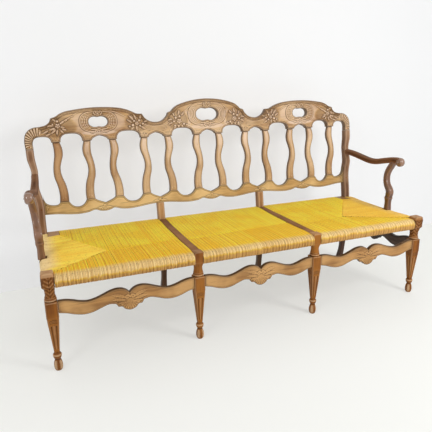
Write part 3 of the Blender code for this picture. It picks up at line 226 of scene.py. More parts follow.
def outline(loop, step):
    """A closed outline smoothed between its corners."""
    p = np.asarray(loop, float)
    before, after = p - np.roll(p, 1, 0), np.roll(p, -1, 0) - p
    turn = np.arctan2(before[:, 0] * after[:, 1] - before[:, 1] * after[:, 0], (before * after).sum(1))
    corners = np.flatnonzero(abs(turn) > radians(46))
    if not len(corners):
        return smooth(p, step, True)
    p = np.roll(p, -corners[0], 0)
    ends = [*(corners - corners[0]), len(p)]
    p = np.vstack([p, p[:1]])
    return np.vstack([smooth(p[a:b + 1], step)[:-1] for a, b in zip(ends, ends[1:])])


def mirrored(loop):
    return [*loop, *((-x, z) for x, z in reversed(loop) if abs(x) > 1e-9)]


def step_up(value, low, high):
    """0 below low, 1 above high, smooth between."""
    t = np.clip((value - low) / (high - low), 0, 1)
    return t * t * (3 - 2 * t)


def folded(p, at=0.0):
    """Points of a board folded over its height at x = at, for carving that is mirrored there."""
    return np.stack([abs(p[:, 0] - at), p[:, 1]], 1)


def polar(p, centre):
    """How far points are from a centre, and in which direction."""
    d = p - np.array(centre)
    return np.hypot(d[:, 0], d[:, 1]), np.arctan2(d[:, 1], d[:, 0])


def dome(share):
    """A round profile: 1 in the middle, 0 at a share of 1."""
    return np.sqrt(np.clip(1 - share ** 2, 0, 1))


def groove(value, at, width):
    return np.exp(-((value - at) / width) ** 2)


class Edges:
    """Outlines of a board, and the distance from them."""

    def __init__(self, loops, step):
        self.step = step
        self.loops = []
        for i, loop in enumerate(loops):
            after = np.roll(loop, -1, 0)
            area = (loop[:, 0] * after[:, 1] - after[:, 0] * loop[:, 1]).sum()
            self.loops.append(loop if (area > 0) == (i == 0) else loop[::-1])
        self.points = np.vstack(self.loops)
        self.pairs = []
        for loop in self.loops:
            first, count = len(self.pairs), len(loop)
            self.pairs += [(first + i, first + (i + 1) % count) for i in range(count)]
        self.loop = np.repeat(np.arange(len(loops)), [len(p) for p in self.loops])
        along = np.vstack([np.roll(p, -1, 0) - np.roll(p, 1, 0) for p in self.loops])
        self.along = along / np.linalg.norm(along, axis=1)[:, None]
        self.inward = np.stack([-self.along[:, 1], self.along[:, 0]], 1)
        self.tree = KDTree(len(self.points))
        for i, (x, z) in enumerate(self.points):
            self.tree.insert((x, z, 0), i)
        self.tree.balance()

    def distance(self, p):
        """How far inside the board each point is, and its nearest edge point."""
        near = np.array([self.tree.find((x, z, 0))[1] for x, z in p])
        away = p - self.points[near]
        inside = (away * self.inward[near]).sum(1)
        past = np.maximum(abs((away * self.along[near]).sum(1)) - self.step / 2, 0)
        return np.hypot(inside, past) * np.sign(inside), near


def grid(low, high, spacing):
    """An even grid of staggered points over a box."""
    rows = np.arange(low[1], high[1], spacing * 0.866)
    columns = np.arange(low[0], high[0], spacing)
    x, z = np.meshgrid(columns, rows)
    x[1::2] += spacing / 2
    return np.stack([x.ravel(), z.ravel()], 1)


def triangles(edges, rings, spacing):
    """Points and triangles that fill a board's outlines. The edge points come first."""
    sets = [edges.points]
    for ring in rings:
        p = edges.points + edges.inward * ring
        sets.append(p[edges.distance(p)[0] > ring * 0.94])
    low, high = edges.points.min(0), edges.points.max(0)
    p = grid(low, high, spacing)
    sets.append(p[edges.distance(p)[0] > rings[-1] + spacing * 0.6])
    points, count = np.vstack(sets), len(edges.points)
    made = delaunay_2d_cdt([Vector(p) for p in points.tolist()], edges.pairs, [], 2, 1e-7)
    place = np.array([p[:] for p in made[0]])
    order = {source: i for i, sources in enumerate(made[3]) for source in sources if source < count}
    faces = np.array(made[2])
    faces = faces[edges.distance(place[faces].mean(1))[0] > 0]
    return place, faces.tolist(), [order[i] for i in range(count)]


# Meshes

def linked(name, data):
    made = bpy.data.objects.new(name, data)
    bpy.context.scene.collection.objects.link(made)
    return made


def new_piece(name, points, faces, look, slot, **values):
    """A piece with named values at its points, which its material reads."""
    mesh = bpy.data.meshes.new(name)
    mesh.from_pydata(np.asarray(points).tolist(), [], faces)
    mesh.validate()
    piece = linked(name, mesh)
    mesh.materials.append(look)
    mesh.shade_smooth()
    mesh.set_sharp_from_angle(angle=radians(50))
    for key, value in values.items():
        mesh.attributes.new(key, "FLOAT", "POINT").data.foreach_set("value", np.asarray(value, np.float32))
    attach(piece, "root")
    return piece


def hollows(points, faces):
    """How far a surface lies below (above 0) or above (below 0) its own smoothed shape, in depths of 0.7 mm."""
    p = np.asarray(points, float)
    ends, normals = [], np.zeros_like(p)

    def gather(where, values):
        return np.stack([np.bincount(where, values[:, k], len(p)) for k in range(3)], 1)

    for size in sorted({len(face) for face in faces if len(face) < 9}):
        block = np.array([face for face in faces if len(face) == size])
        normal = np.cross(p[block[:, 1]] - p[block[:, 0]], p[block[:, -1]] - p[block[:, 0]])
        for i in range(size):
            normals += gather(block[:, i], normal)
            ends.append(np.stack([block[:, i], block[:, (i + 1) % size]], 1))
    normals /= np.linalg.norm(normals, axis=1)[:, None] + 1e-12
    ends = np.vstack(ends)
    ends = np.vstack([ends, ends[:, ::-1]])
    count = np.bincount(ends[:, 0], minlength=len(p))[:, None] + 1
    calm = p.copy()
    for _ in range(4):
        calm = (calm + gather(ends[:, 0], calm[ends[:, 1]])) / count
    return np.clip(((calm - p) * normals).sum(1) / 0.0007, -1, 1)


def carve(name, loops, thickness, height, look, slot, place, spacing=0.0028, step=0.003, both=False, border=0.0044):
    """A board with a carved front. height gives how far the front stands out, and how it is stained, with painted
    shade and painted highlight among the stains.
    """
    edges = Edges([outline(loop, step) for loop in loops], step)
    rings = (0.0007, 0.0018, 0.0032, 0.0046, 0.006, 0.0075, 0.009, 0.011)
    front, faces, border_at = triangles(edges, rings, spacing)
    away, near = edges.distance(front)
    away = np.maximum(away, 0)
    lift, stain = height(front, away, edges, near)
    if both:
        back, back_faces, back_border, back_lift, back_away = front, faces, border_at, lift, away
    else:
        back, back_faces, back_border = triangles(edges, (0.0009, 0.0025), spacing * 5)
        back_away = np.maximum(edges.distance(back)[0], 0)
        back_lift = eased(back_away, 0.0025)
    half = thickness / 2
    points = np.vstack([
        np.stack([front[:, 0], -half - lift, front[:, 1]], 1),
        np.stack([back[:, 0], half + back_lift, back[:, 1]], 1),
    ])
    shift = len(front)
    every = [list(face) for face in faces]
    every += [[shift + i for i in reversed(face)] for face in back_faces]
    every += [[border_at[b], border_at[a], shift + back_border[a], shift + back_border[b]] for a, b in edges.pairs]
    placed = np.array([(place @ Vector(p))[:] for p in points])
    # dirt and painted shade along the edges and on the side walls
    rim = np.exp(-(np.concatenate([away, back_away]) / border) ** 2) if border else np.zeros(len(points))
    stain = np.concatenate([stain, stain if both else np.zeros(len(back))])
    return new_piece(name, placed, every, look, slot, cavity=hollows(points, every), rim=rim, stain=stain)


def eased(away, radius):
    """The fall of a rounded edge: 0 inside, minus the radius at the edge."""
    near = np.clip(radius - away, 0, radius)
    return np.sqrt(np.maximum(radius ** 2 - near ** 2, 0)) - radius


def beaded(away, bead, high):
    """A rounded edge with a bead beside it and a groove inside the bead."""
    top = high * np.clip(1 - ((away - bead * 0.62) / (bead * 0.62)) ** 2, 0, 1)
    return eased(away, 0.0022) * 0.8 + top - high * 1.1 * groove(away, bead * 1.32, bead * 0.2)


# Carved ornaments. Each gives its height above the ground at points of a board.

def rope(p, path, widths, high, ribs=0):
    """A rounded band along a path, with its half width at each point, and ribs across it."""
    path = smooth(path, 0.0015)
    widths = np.interp(np.linspace(0, 1, len(path)), np.linspace(0, 1, len(widths)), widths)
    found = np.zeros(len(p))
    reach = max(widths)
    inside = np.flatnonzero(((p > path.min(0) - reach) & (p < path.max(0) + reach)).all(1))
    if not len(inside):
        return found
    away = np.linalg.norm(p[inside, None] - path[None], axis=2)
    near = away.argmin(1)
    share = away[np.arange(len(inside)), near] / widths[near]
    lift = high * dome(share) * np.clip(widths[near] / reach, 0.45, 1)
    if ribs:
        lift = lift * (1 - 0.22 * np.abs(np.cos(pi * near / len(path) * ribs)) ** 3)
    found[inside] = lift
    return found


def leaf(p, base, tip, half, high, bend, lobes):
    """A pointed leaf with a vein and a lobed edge."""
    base, tip = np.array(base), np.array(tip)
    axis = tip - base
    size = np.linalg.norm(axis)
    axis = axis / size
    u = (p - base) @ axis / size
    v = (p - base) @ np.array([-axis[1], axis[0]]) - bend * np.sin(pi * np.clip(u, 0, 1))
    wide = half * np.sin(pi * np.clip(u, 0, 1) ** 0.8) * (0.82 + 0.18 * np.abs(np.sin(pi * lobes * u)))
    share = np.abs(v) / np.maximum(wide, 1e-6)
    lift = high * dome(share) * (1 - 0.55 * np.exp(-(v / (half * 0.16)) ** 2))
    lift *= 1 - 0.25 * np.abs(np.sin(pi * lobes * (u + share * 0.25)))
    return np.where((u > 0) & (u < 1) & (share < 1), lift, 0)


def flower(p, centre, radius, high):
    """Five petals round an eye."""
    r, a = polar(p, centre)
    petal = np.abs(np.cos(5 * (a + 0.3) / 2))
    share = r / (radius * (0.72 + 0.28 * petal))
    eye = high * 1.15 * dome(r / (radius * 0.3))
    ring = np.exp(-((r - radius * 0.36) / (radius * 0.09)) ** 2)
    lift = high * dome(share) * (0.55 + 0.45 * petal) * (1 - 0.7 * ring)
    return np.maximum(np.where(share < 1, lift, 0), eye)


def shell(p, centre, inner, outer, start_at, end_at, count, high):
    """A fan of ribs between two angles, in degrees."""
    r, a = polar(p, centre)
    u = ((np.degrees(a) - start_at) % 360) / (end_at - start_at)
    rib = np.abs(np.sin(pi * u * count)) ** 0.7
    rim = outer * (0.93 + 0.07 * rib)
    lift = high * rib * np.sqrt(np.clip((r - inner * 0.5) / (rim - inner * 0.5), 0, 1))
    return np.where((u < 1) & (r > inner) & (r < rim), lift, 0)


def blob(p, x, height, radius, high):
    """A round berry."""
    return high * dome(polar(p, (x, height))[0] / radius)


def oval_zone(p, x, height, wide, tall):
    """1 inside an ellipse and 0 outside it, with a soft border."""
    return 1 - step_up(np.hypot((p[:, 0] - x) / wide, (p[:, 1] - height) / tall), 0.82, 1.12)


def volute(centre, radius, turns, way, start_at):
    """A spiral's path, from its rim to its eye. way is 1 or -1."""
    t = np.linspace(0, 1, 40)
    a = start_at + way * 2 * pi * turns * t
    r = radius * (1 - 0.9 * t)
    return np.stack([centre[0] + r * np.cos(a), centre[1] + r * np.sin(a)], 1)


def top(found, *lifts):
    for lift in lifts:
        found = np.maximum(found, lift)
    return found


# The back

BACK = Matrix.Translation((0, BACK_Y, BEND_HEIGHT)) @ Matrix.Rotation(-RAKE, 4, "X")


def slat_places():
    places = [(SLAT_SPREAD - END_PAIR, 1)]
    for n in (-2, -1, 0, 1, 2):
        centre = n * PAIR_SPACING
        places += [(centre - SLAT_SPREAD, -1), (centre + SLAT_SPREAD, 1)]
    return [*places, (END_PAIR - SLAT_SPREAD, -1)]


SLATS = slat_places()
SLAT_TOPS = [x for x, way in SLATS]
SLAT_FEET = [x + way * SLAT_SPREAD * SLAT_shares[0][1] for x, way in SLATS]


def openings(places, half):
    found = []
    places = [x for x in places if x > 0]
    for left, right in zip(places, places[1:]):
        middle = (left + right) / 2
        wide = all(abs(middle - n * PAIR_SPACING) > SLAT_SPREAD / 2 for n in (-2, -1, 0, 1, 2))
        found.append((left + half, right - half, wide))
    return found


def arch(left, right, level, wide, rise):
    """The end of an opening: upwards in the crest, downwards (rise below 0) in the lower rail."""
    middle, half = (left + right) / 2, (right - left) / 2
    if rise > 0:
        shares = WIDE_ARCH_shares if wide else NARROW_ARCH_shares
    else:
        shares = WIDE_FOOT_shares if wide else NARROW_FOOT_shares
    up = [(middle + half * w, level + rise * h) for w, h in shares]
    down = [(middle - half * w, level + rise * h) for w, h in reversed(shares)]
    return [(right, level), *up, (middle, level + rise), *down, (left, level)]


def half_arch(half, level, rise):
    shares = NARROW_ARCH_shares if rise > 0 else NARROW_FOOT_shares
    return [(half, level), *((half * w, level + rise * h) for w, h in shares), (0, level + rise)]


def oval(x, height, wide, tall):
    """The opening in the crest, with a cusp above and below where the curls meet."""
    t = np.linspace(0, 2 * pi, 48, endpoint=False)
    pinch = 1 - 0.16 * np.exp(-(np.cos(t) / 0.26) ** 2)
    square = 1 + 0.05 * np.sin(2 * t) ** 2
    return np.stack([x + wide * np.cos(t) * square, height + tall * np.sin(t) * square * pinch], 1)


def crest_loops():
    right = [(0, MIDDLE_ARCH)]
    rise = MIDDLE_ARCH - CREST_DIP
    right += [(PAIR_SPACING * w, CREST_DIP + rise * h) for w, h in MIDDLE_ARCH_shares]
    right.append((PAIR_SPACING, CREST_DIP))
    length, rise = CREST_END - PAIR_SPACING, OUTER_ARCH - CREST_DIP
    right += [(PAIR_SPACING + length * w, CREST_DIP + rise * h) for w, h in OUTER_ARCH_shares]
    post_x, post_half = END_POST_X + POST_WIDTH * 0.38, POST_WIDTH * 0.95 / 2
    right += [(post_x + post_half, POST_TOP + FIT_GAP), (post_x - post_half, POST_TOP + FIT_GAP)]
    right += arch(SLAT_TOPS[-1] + SLAT_HEAD_HALF, post_x - post_half, SLAT_TOP, True, END_RISE)[1:]
    for left_edge, right_edge, wide in reversed(openings(SLAT_TOPS, SLAT_HEAD_HALF)):
        right += arch(left_edge, right_edge, SLAT_TOP, wide, CREST_RISE[wide])
    right += half_arch(SLAT_SPREAD - SLAT_HEAD_HALF, SLAT_TOP, CREST_RISE[False])
    x, height, wide, tall = OUTER_OVAL
    return [mirrored(right), oval(-x, height, wide, tall), oval(*MIDDLE_OVAL), oval(x, height, wide, tall)]


def frame_path(wide, tall):
    """The right half of a rounded frame, from its top to its bottom."""
    t = np.linspace(1.46, -1.46, 21)
    return np.stack([wide * np.cos(t) ** 0.62, tall * np.sign(t) * abs(np.sin(t)) ** 0.8], 1)


def oval_carving(p, x, height, wide, tall, ribs):
    """C-scrolls on both sides of an opening, with curls where they meet. Gives the lift and the scrolls."""
    q = p - (x, height)
    near = (abs(q) < (wide + 0.07, tall + 0.07)).all(1)
    side = folded(q)[near]
    # the C-scroll: reeds round the opening inside a strong rim
    scroll = np.zeros(len(side))
    for out, thick in ((0.0105, 0.005), (0.0205, 0.0048), (0.03, 0.0046), (0.038, 0.004)):
        reed = thick * np.array([0.3, 0.75, 1.0, 1.0, 1.0, 0.75, 0.3])
        reed_path = frame_path(wide + out, tall + 0.004 + out * 0.4)
        scroll = top(scroll, rope(side, reed_path, reed, 0.0046, ribs))
    rim = rope(side, frame_path(wide + 0.045, tall + 0.0225), [0.003, 0.004, 0.0042, 0.004, 0.003], 0.0056)
    # curls above the opening, and a ribbon and berries below it
    high_curl = volute((0.0125, tall + 0.0185), 0.0105, 1.25, 1, -pi / 2)
    low_curl = volute((0.0125, -tall - 0.024), 0.0095, 1.1, -1, pi / 2)
    ribbon = [(0.004, -tall - 0.0165), (0.018, -tall - 0.0125), (0.04, -tall - 0.01), (0.06, -tall + 0.004)]
    lift = top(
        scroll, rim,
        rope(side, frame_path(wide + 0.003, tall + 0.003), [0.0034, 0.0038, 0.0034], 0.005),
        rope(side, high_curl, [0.0038, 0.003, 0.0022], 0.0078),
        blob(side, 0.0125, tall + 0.0185, 0.003, 0.0088),
        blob(side, 0.0045, tall + 0.004, 0.0042, 0.007),
        rope(side, ribbon, [0.0034, 0.004, 0.003, 0.0012], 0.0066),
        rope(side, low_curl, [0.0036, 0.0028, 0.002], 0.0066),
        blob(side, 0.0, -tall - 0.021, 0.0046, 0.008),
        leaf(side, (0.018, -tall - 0.026), (0.052, -tall - 0.032), 0.0052, 0.005, 0.003, 4),
    )
    found, body = np.zeros(len(p)), np.zeros(len(p))
    found[near], body[near] = lift, (scroll > 0) * (rim < 0.001)
    return found, body


# Sprays on the right half: flower (x, height, radius), berries, leaves (base, tip, half width, bend)
SPRAYS = (
    ((0.855, 0.561, 0.015), (
        (0.855, 0.585, 0.0062), (0.876, 0.5465, 0.0052), (0.838, 0.5735, 0.0052), (0.88, 0.57, 0.005),
    ), (
        ((0.838, 0.574), (0.818, 0.589), 0.0062, 0.001), ((0.819, 0.584), (0.799, 0.599), 0.006, 0.001),
        ((0.803, 0.594), (0.783, 0.608), 0.0054, 0.001), ((0.787, 0.604), (0.764, 0.615), 0.0046, 0.001),
        ((0.842, 0.556), (0.818, 0.551), 0.006, 0.001), ((0.836, 0.547), (0.808, 0.537), 0.006, 0.002),
        ((0.87, 0.551), (0.905, 0.541), 0.0064, -0.002), ((0.874, 0.563), (0.91, 0.559), 0.0058, 0.002),
        ((0.866, 0.545), (0.896, 0.52), 0.0064, -0.002), ((0.856, 0.544), (0.862, 0.51), 0.006, 0.002),
        ((0.904, 0.541), (0.938, 0.524), 0.0058, -0.002), ((0.893, 0.523), (0.926, 0.508), 0.0054, 0.001),
        ((0.843, 0.541), (0.826, 0.52), 0.0058, 0.001), ((0.862, 0.584), (0.88, 0.598), 0.0056, 0.001),
    )),
    ((0.427, 0.556, 0.013), (
        (0.4506, 0.5465, 0.0078), (0.413, 0.571, 0.0066), (0.393, 0.552, 0.0066), (0.442, 0.569, 0.006),
        (0.47, 0.54, 0.0054), (0.41, 0.541, 0.0056),
    ), (
        ((0.446, 0.574), (0.474, 0.604), 0.0068, 0.002), ((0.43, 0.576), (0.444, 0.608), 0.0062, 0.002),
        ((0.408, 0.58), (0.404, 0.602), 0.0056, 0.001), ((0.456, 0.56), (0.486, 0.58), 0.0062, 0.002),
        ((0.404, 0.538), (0.376, 0.522), 0.0064, 0.002), ((0.43, 0.542), (0.427, 0.514), 0.006, 0.001),
        ((0.444, 0.537), (0.464, 0.519), 0.0056, 0.001), ((0.388, 0.562), (0.364, 0.57), 0.0056, 0.001),
    )),
    ((0.176, 0.557, 0.0165), (
        (0.196, 0.577, 0.007), (0.173, 0.584, 0.007), (0.149, 0.54, 0.0068), (0.131, 0.535, 0.0058),
        (0.208, 0.556, 0.0066), (0.203, 0.532, 0.0064),
    ), (
        ((0.162, 0.588), (0.14, 0.616), 0.0064, 0.002), ((0.182, 0.592), (0.172, 0.624), 0.0064, 0.002),
        ((0.204, 0.586), (0.214, 0.608), 0.0056, 0.001), ((0.214, 0.55), (0.246, 0.538), 0.0062, 0.002),
        ((0.216, 0.57), (0.248, 0.562), 0.0058, 0.002), ((0.16, 0.538), (0.154, 0.514), 0.0058, 0.001),
        ((0.196, 0.53), (0.214, 0.51), 0.0062, 0.001), ((0.178, 0.538), (0.184, 0.514), 0.0058, 0.001),
    )),
)
RIDGES = (
    [(0.77, 0.6165), (0.75, 0.626), (0.7315, 0.631), (0.7, 0.6345), (0.668, 0.633), (0.652, 0.628)],
    [(0.628, 0.628), (0.612, 0.633), (0.582, 0.632), (0.5495, 0.6245), (0.5125, 0.608), (0.486, 0.593)],
    [(0.028, 0.658), (0.06, 0.656), (0.09, 0.646), (0.118, 0.63), (0.138, 0.612)],
)
# x, height, and share of each strand's drop
DIP_STRAND = (
    (0.232, 0.566, 1), (0.262, 0.549, 0.9), (0.3, 0.543, 0.8), (0.34, 0.543, 0.8), (0.372, 0.551, 0.9),
    (0.398, 0.566, 1),
)
FAN_CENTRE = (0.966, 0.478)
# Sunk grounds round the sprays: x, height, half width, half height
SPRAY_ZONES = ((0.855, 0.554, 0.098, 0.056), (0.428, 0.562, 0.066, 0.056), (0.184, 0.562, 0.064, 0.062))


def crest_height(p, away, edges, near):
    """The crest's moulding, ovals, sprays, ridges and end shells."""
    above = (edges.loop[near] == 0) & (edges.inward[near][:, 1] < -0.1)
    side = folded(p)
    zone = top(np.zeros(len(p)), *(oval_zone(side, *place) for place in SPRAY_ZONES))
    # the top moulding is a bead and finer reeds below it that follow the edge
    inner = step_up(away, 0.016, 0.021)
    reeds = 0.0019 * np.cos((away - 0.0042) / 0.0056 * 2 * pi) * step_up(away, 0.001, 0.004) * (1 - inner)
    found = np.where(above, eased(away, 0.0035) + reeds, beaded(away, 0.006, 0.0016)) - 0.0012 * inner
    found = found - 0.0026 * zone * step_up(away, 0.004, 0.009)
    # fine veins in the fields beside the middle opening
    d = side - (0.098, 0.69)
    veins = np.abs(np.sin(np.arctan2(d[:, 0], -d[:, 1]) * 42)) * oval_zone(side, 0.118, 0.573, 0.026, 0.046)
    found = found - 0.001 * veins
    carving, scrolls = oval_carving(side, *OUTER_OVAL, 11)
    more, more_scrolls = oval_carving(p, *MIDDLE_OVAL, 0)
    carving, scrolls = top(carving, more), top(scrolls, more_scrolls)
    for (x, height, radius), berries, leaves in SPRAYS:
        carving = top(
            carving, flower(side, (x, height), radius * 0.9, 0.0075),
            *(blob(side, *berry, 0.0066) for berry in berries),
            *(leaf(side, base, tip, half * 0.9, 0.0054, bend, 2) for base, tip, half, bend in leaves),
        )
    # light ridges over the fields, and long strands along each dip
    for ridge in RIDGES:
        carving = top(carving, rope(side, ridge, [0.0026, 0.0036, 0.0038, 0.0036, 0.0028], 0.0036))
    dips = np.zeros(len(p))
    for drop in (0.01, 0.0185, 0.027, 0.0355):
        strand = [(x, height - drop * share) for x, height, share in DIP_STRAND]
        dips = top(dips, rope(side, strand, [0.0016, 0.0042, 0.0046, 0.0046, 0.0042, 0.0016], 0.0032))
    carving = top(carving, dips)
    # leaves over the slats, and the shells at the two ends
    for at in SLAT_TOPS:
        grand = 1.35 if at in (SLAT_TOPS[3], SLAT_TOPS[7]) else 0.9
        for turn in (-1, 0, 1):
            end = (at + turn * 0.017 * grand, SLAT_TOP + 0.01 + (0.016 - abs(turn) * 0.007) * grand)
            carving = top(carving, leaf(p, (at, SLAT_TOP + 0.003), end, 0.0056 * grand, 0.0046 * grand, 0, 3))
    fan = shell(side, FAN_CENTRE, 0.01, 0.086, -24, 102, 10, 0.0085)
    fan *= step_up(away, 0.0, 0.004)
    found = np.where(fan > 0, -0.0045 + fan, found)
    d = np.hypot((side[:, 0] - 0.949) / 0.0085, (side[:, 1] - 0.5285) / 0.0185)
    bud = 0.0064 * dome(d) * (1 - 0.6 * groove(d, 0.62, 0.16))
    carving = top(carving, rope(side, volute(FAN_CENTRE, 0.01, 1.1, 1, 0), [0.0034, 0.0026], 0.0072), bud)
    found = top(found, (carving - 0.0026) * step_up(away, 0.0, 0.0035) + found * (carving <= 0))
    high = np.clip(carving / 0.005, 0, 1)
    # darker sunk grounds and scrolls, partly dirt and partly painted shade, with the raised carving paler as a
    # painted highlight
    stain = zone * (0.45 - 1.25 * high) + (0.62 - high) * scrolls + 0.1 * (dips > 0)
    # painted shade under the top moulding and in the groove below its reeds
    stain = stain + 0.08 * above * (1 - inner) + 0.6 * above * groove(away, 0.0175, 0.0024)
    # the shells: painted shade in the grooves and painted highlight on the ribs
    stain = np.where(fan > 0, 0.85 - 120 * fan, stain)
    # painted highlight: paler fields beside the ovals, above the slats and beside the middle opening
    field = oval_zone(side, 0.64, 0.572, 0.155, 0.064) * (1 - zone)
    stain = stain - 0.42 * field * (carving <= 0)
    low = oval_zone(side, 0.64, 0.516, 0.095, 0.013) + oval_zone(side, 0.0, 0.522, 0.11, 0.016)
    stain = stain - 0.55 * low - 0.4 * oval_zone(side, 0.128, 0.566, 0.026, 0.05) * (1 - zone)
    return found, stain


def lower_loops():
    inner = END_POST_X - POST_WIDTH / 2 - FIT_GAP
    tall = SLAT_BOTTOM - LOWER_RAIL_BOTTOM
    right = half_arch(SLAT_FEET[6] - SLAT_BOTTOM_HALF, SLAT_BOTTOM, LOWER_RISE[False])[::-1]
    for left_edge, right_edge, wide in openings(SLAT_FEET, SLAT_BOTTOM_HALF):
        right += reversed(arch(left_edge, right_edge, SLAT_BOTTOM, wide, LOWER_RISE[wide]))
    foot = SLAT_FEET[-1] + SLAT_BOTTOM_HALF
    right.append((foot, SLAT_BOTTOM))
    right += [(foot + (inner - foot) * way, SLAT_BOTTOM + SWEEP_RISE * up) for way, up in END_SWEEP_shares]
    right.append((inner, LOWER_RAIL_BOTTOM))

    def underside(middle, half):
        left = [(middle - half * w, LOWER_RAIL_BOTTOM + tall * drop) for w, drop in LOWER_RAIL_shares]
        return [*((2 * middle - x, z) for x, z in reversed(left[1:])), *left]

    right += underside((MIDDLE_LEG_X + inner) / 2, (inner - MIDDLE_LEG_X) / 2)
    right.append((MIDDLE_LEG_X + MIDDLE_POST_WIDTH / 2, LOWER_RAIL_BOTTOM))
    right.append((MIDDLE_LEG_X - MIDDLE_POST_WIDTH / 2, LOWER_RAIL_BOTTOM))
    right += [(x, z) for x, z in underside(0, MIDDLE_LEG_X) if x >= 0]
    return [mirrored(right)]


def lower_height(p, away, edges, near):
    """The lower rail's bead, with a shell under each bay."""
    side = folded(p)
    carving = np.zeros(len(p))
    # a shell, a flower and leaves in the middle of each bay, and leaves over the middle posts
    for at in (0.0, 0.649):
        q = folded(side, at)
        carving = top(
            carving, shell(q, (0.0, 0.111), 0.004, 0.03, 195, 345, 7, 0.0026),
            flower(q, (0, 0.112), 0.007, 0.0034),
            leaf(q, (0.01, 0.106), (0.062, 0.094), 0.0062, 0.0024, -0.003, 4),
        )
    q = folded(side, MIDDLE_LEG_X)
    carving = top(
        carving, leaf(q, (0.004, 0.106), (0.046, 0.1), 0.0078, 0.0024, 0.002, 4),
        flower(q, (0, 0.112), 0.0076, 0.0034),
        # a leaf at each end where the rail sweeps up the post
        leaf(side, (0.966, 0.112), (0.95, 0.16), 0.009, 0.0022, 0.004, 3),
    )
    # darker at the ends by the posts, painted shade in the bead's groove, and a painted highlight along the bead
    stain = 0.1 * (carving > 0) + 0.55 * step_up(side[:, 0], 0.92, 0.975) + 0.95 * groove(away, 0.008, 0.0018)
    stain = stain + 0.12 * step_up(away, 0.01, 0.016) - 0.3 * groove(away, 0.0052, 0.0016)
    return top(beaded(away, 0.0058, 0.0016), carving * step_up(away, 0.0, 0.003)), stain


def slat_loop(x, way):
    low, high = SLAT_BOTTOM + FIT_GAP, SLAT_TOP - FIT_GAP
    left, right = [], []
    for up, sway, share in SLAT_shares:
        half = (SLAT_BOTTOM_HALF + (SLAT_TOP_HALF - SLAT_BOTTOM_HALF) * up) * share
        middle = x + way * SLAT_SPREAD * sway
        right.append((middle + half, low + (high - low) * up))
        left.append((middle - half, low + (high - low) * up))
    return [*right, *reversed(left)]


# How much painted highlight lies on the top of each slat
SLAT_HIGHLIGHT = (0.15, 0.6, 0.65, 0.85, 0.8, 0.75, 0.85, 0.95, 0.75, 0.6, 0.6, 0.45)


def slat_height(pale):
    def height(p, away, edges, near):
        """A slat is crowned across, with a collar at its head."""
        across = np.where(abs(edges.inward[near][:, 0]) > 0.6, away, 0.012)
        crown = 0.0042 * np.sqrt(np.clip(across / 0.016, 0, 1))
        head = SLAT_TOP - p[:, 1]
        collar = 0.0012 * groove(head, 0.0045, 0.0012)
        up = step_up(p[:, 1], 0.3, 0.47)
        side = step_up(across, 0.006, 0.013)
        # painted shade along the sides and in the collar's groove, and painted highlight over the top
        stain = 0.22 * (1 - side) + 0.08 - pale * up * side + 0.6 * groove(head, 0.0035, 0.002)
        return eased(across, 0.004) - 0.001 + crown - collar, stain

    return height


def stretcher_loop(half):
    rise = LEG_BLOCK_HIGH - LEG_BLOCK_LOW
    shares = (*STRETCHER_TOP_shares, *STRETCHER_LOW_shares)
    return mirrored([(half * w, LEG_BLOCK_LOW + rise * h) for w, h in shares])


def stretcher_height(p, away, edges, near):
    """A stretcher's bead, with a shell and leaves in its middle."""
    side = folded(p)
    curl = volute((0.0125, 0.3), 0.0105, 1.3, -1, pi)
    carving = top(
        shell(side, (0.0, 0.286), 0.006, 0.046, 200, 340, 9, 0.002), rope(side, curl, [0.0036, 0.0026], 0.0022),
        leaf(side, (0.016, 0.296), (0.088, 0.322), 0.009, 0.0018, 0.004, 6),
        leaf(side, (0.02, 0.286), (0.084, 0.296), 0.008, 0.0018, 0.002, 6),
        leaf(side, (0.012, 0.276), (0.06, 0.276), 0.007, 0.0018, -0.002, 6),
    )
    lift = top(beaded(away, 0.006, 0.0013), carving * step_up(away, 0.0, 0.003))
    # a painted highlight along the bead
    return lift, -0.25 * groove(away, 0.004, 0.0018)


# Legs, posts and arms

def tube_faces(rings, sides, first=0):
    """The four-sided faces between rings of points."""
    faces = []
    for low in range(first, first + (rings - 1) * sides, sides):
        for j in range(sides):
            k = (j + 1) % sides
            faces.append([low + j, low + k, low + sides + k, low + sides + j])
    return faces


def turned(name, x, y, rows, shape, look, slot):
    """A leg through rings. rows give height, half width and squareness, and shape moves its surface."""
    sides = 96
    rows = smooth_rows(rows, 0.0024)
    a = np.linspace(0, 2 * pi, sides, endpoint=False)
    c, s = np.cos(a), np.sin(a)
    square = (abs(c) ** 16 + abs(s) ** 16) ** (-1 / 16)
    height = rows[:, 0][:, None] * np.ones(sides)
    half = rows[:, 1][:, None] * (1 + (square - 1)[None] * rows[:, 2][:, None])
    px, py, stain = shape(half * c, half * s, height, rows[:, 1][:, None], rows[:, 2][:, None])
    points = np.stack([x + px, y + py, height], 2).reshape(-1, 3)
    faces = tube_faces(len(rows), sides)
    caps = len(points)
    points = np.vstack([points, [(x, y, rows[0, 0]), (px[-1].mean() + x, py[-1].mean() + y, rows[-1, 0])]])
    last = caps - sides
    for j in range(sides):
        k = (j + 1) % sides
        faces.append([k, j, caps])
        faces.append([last + j, last + k, caps + 1])
    stain = np.concatenate([stain.ravel(), [0, 0]])
    return new_piece(name, points, faces, look, slot, cavity=hollows(points, faces), stain=stain)


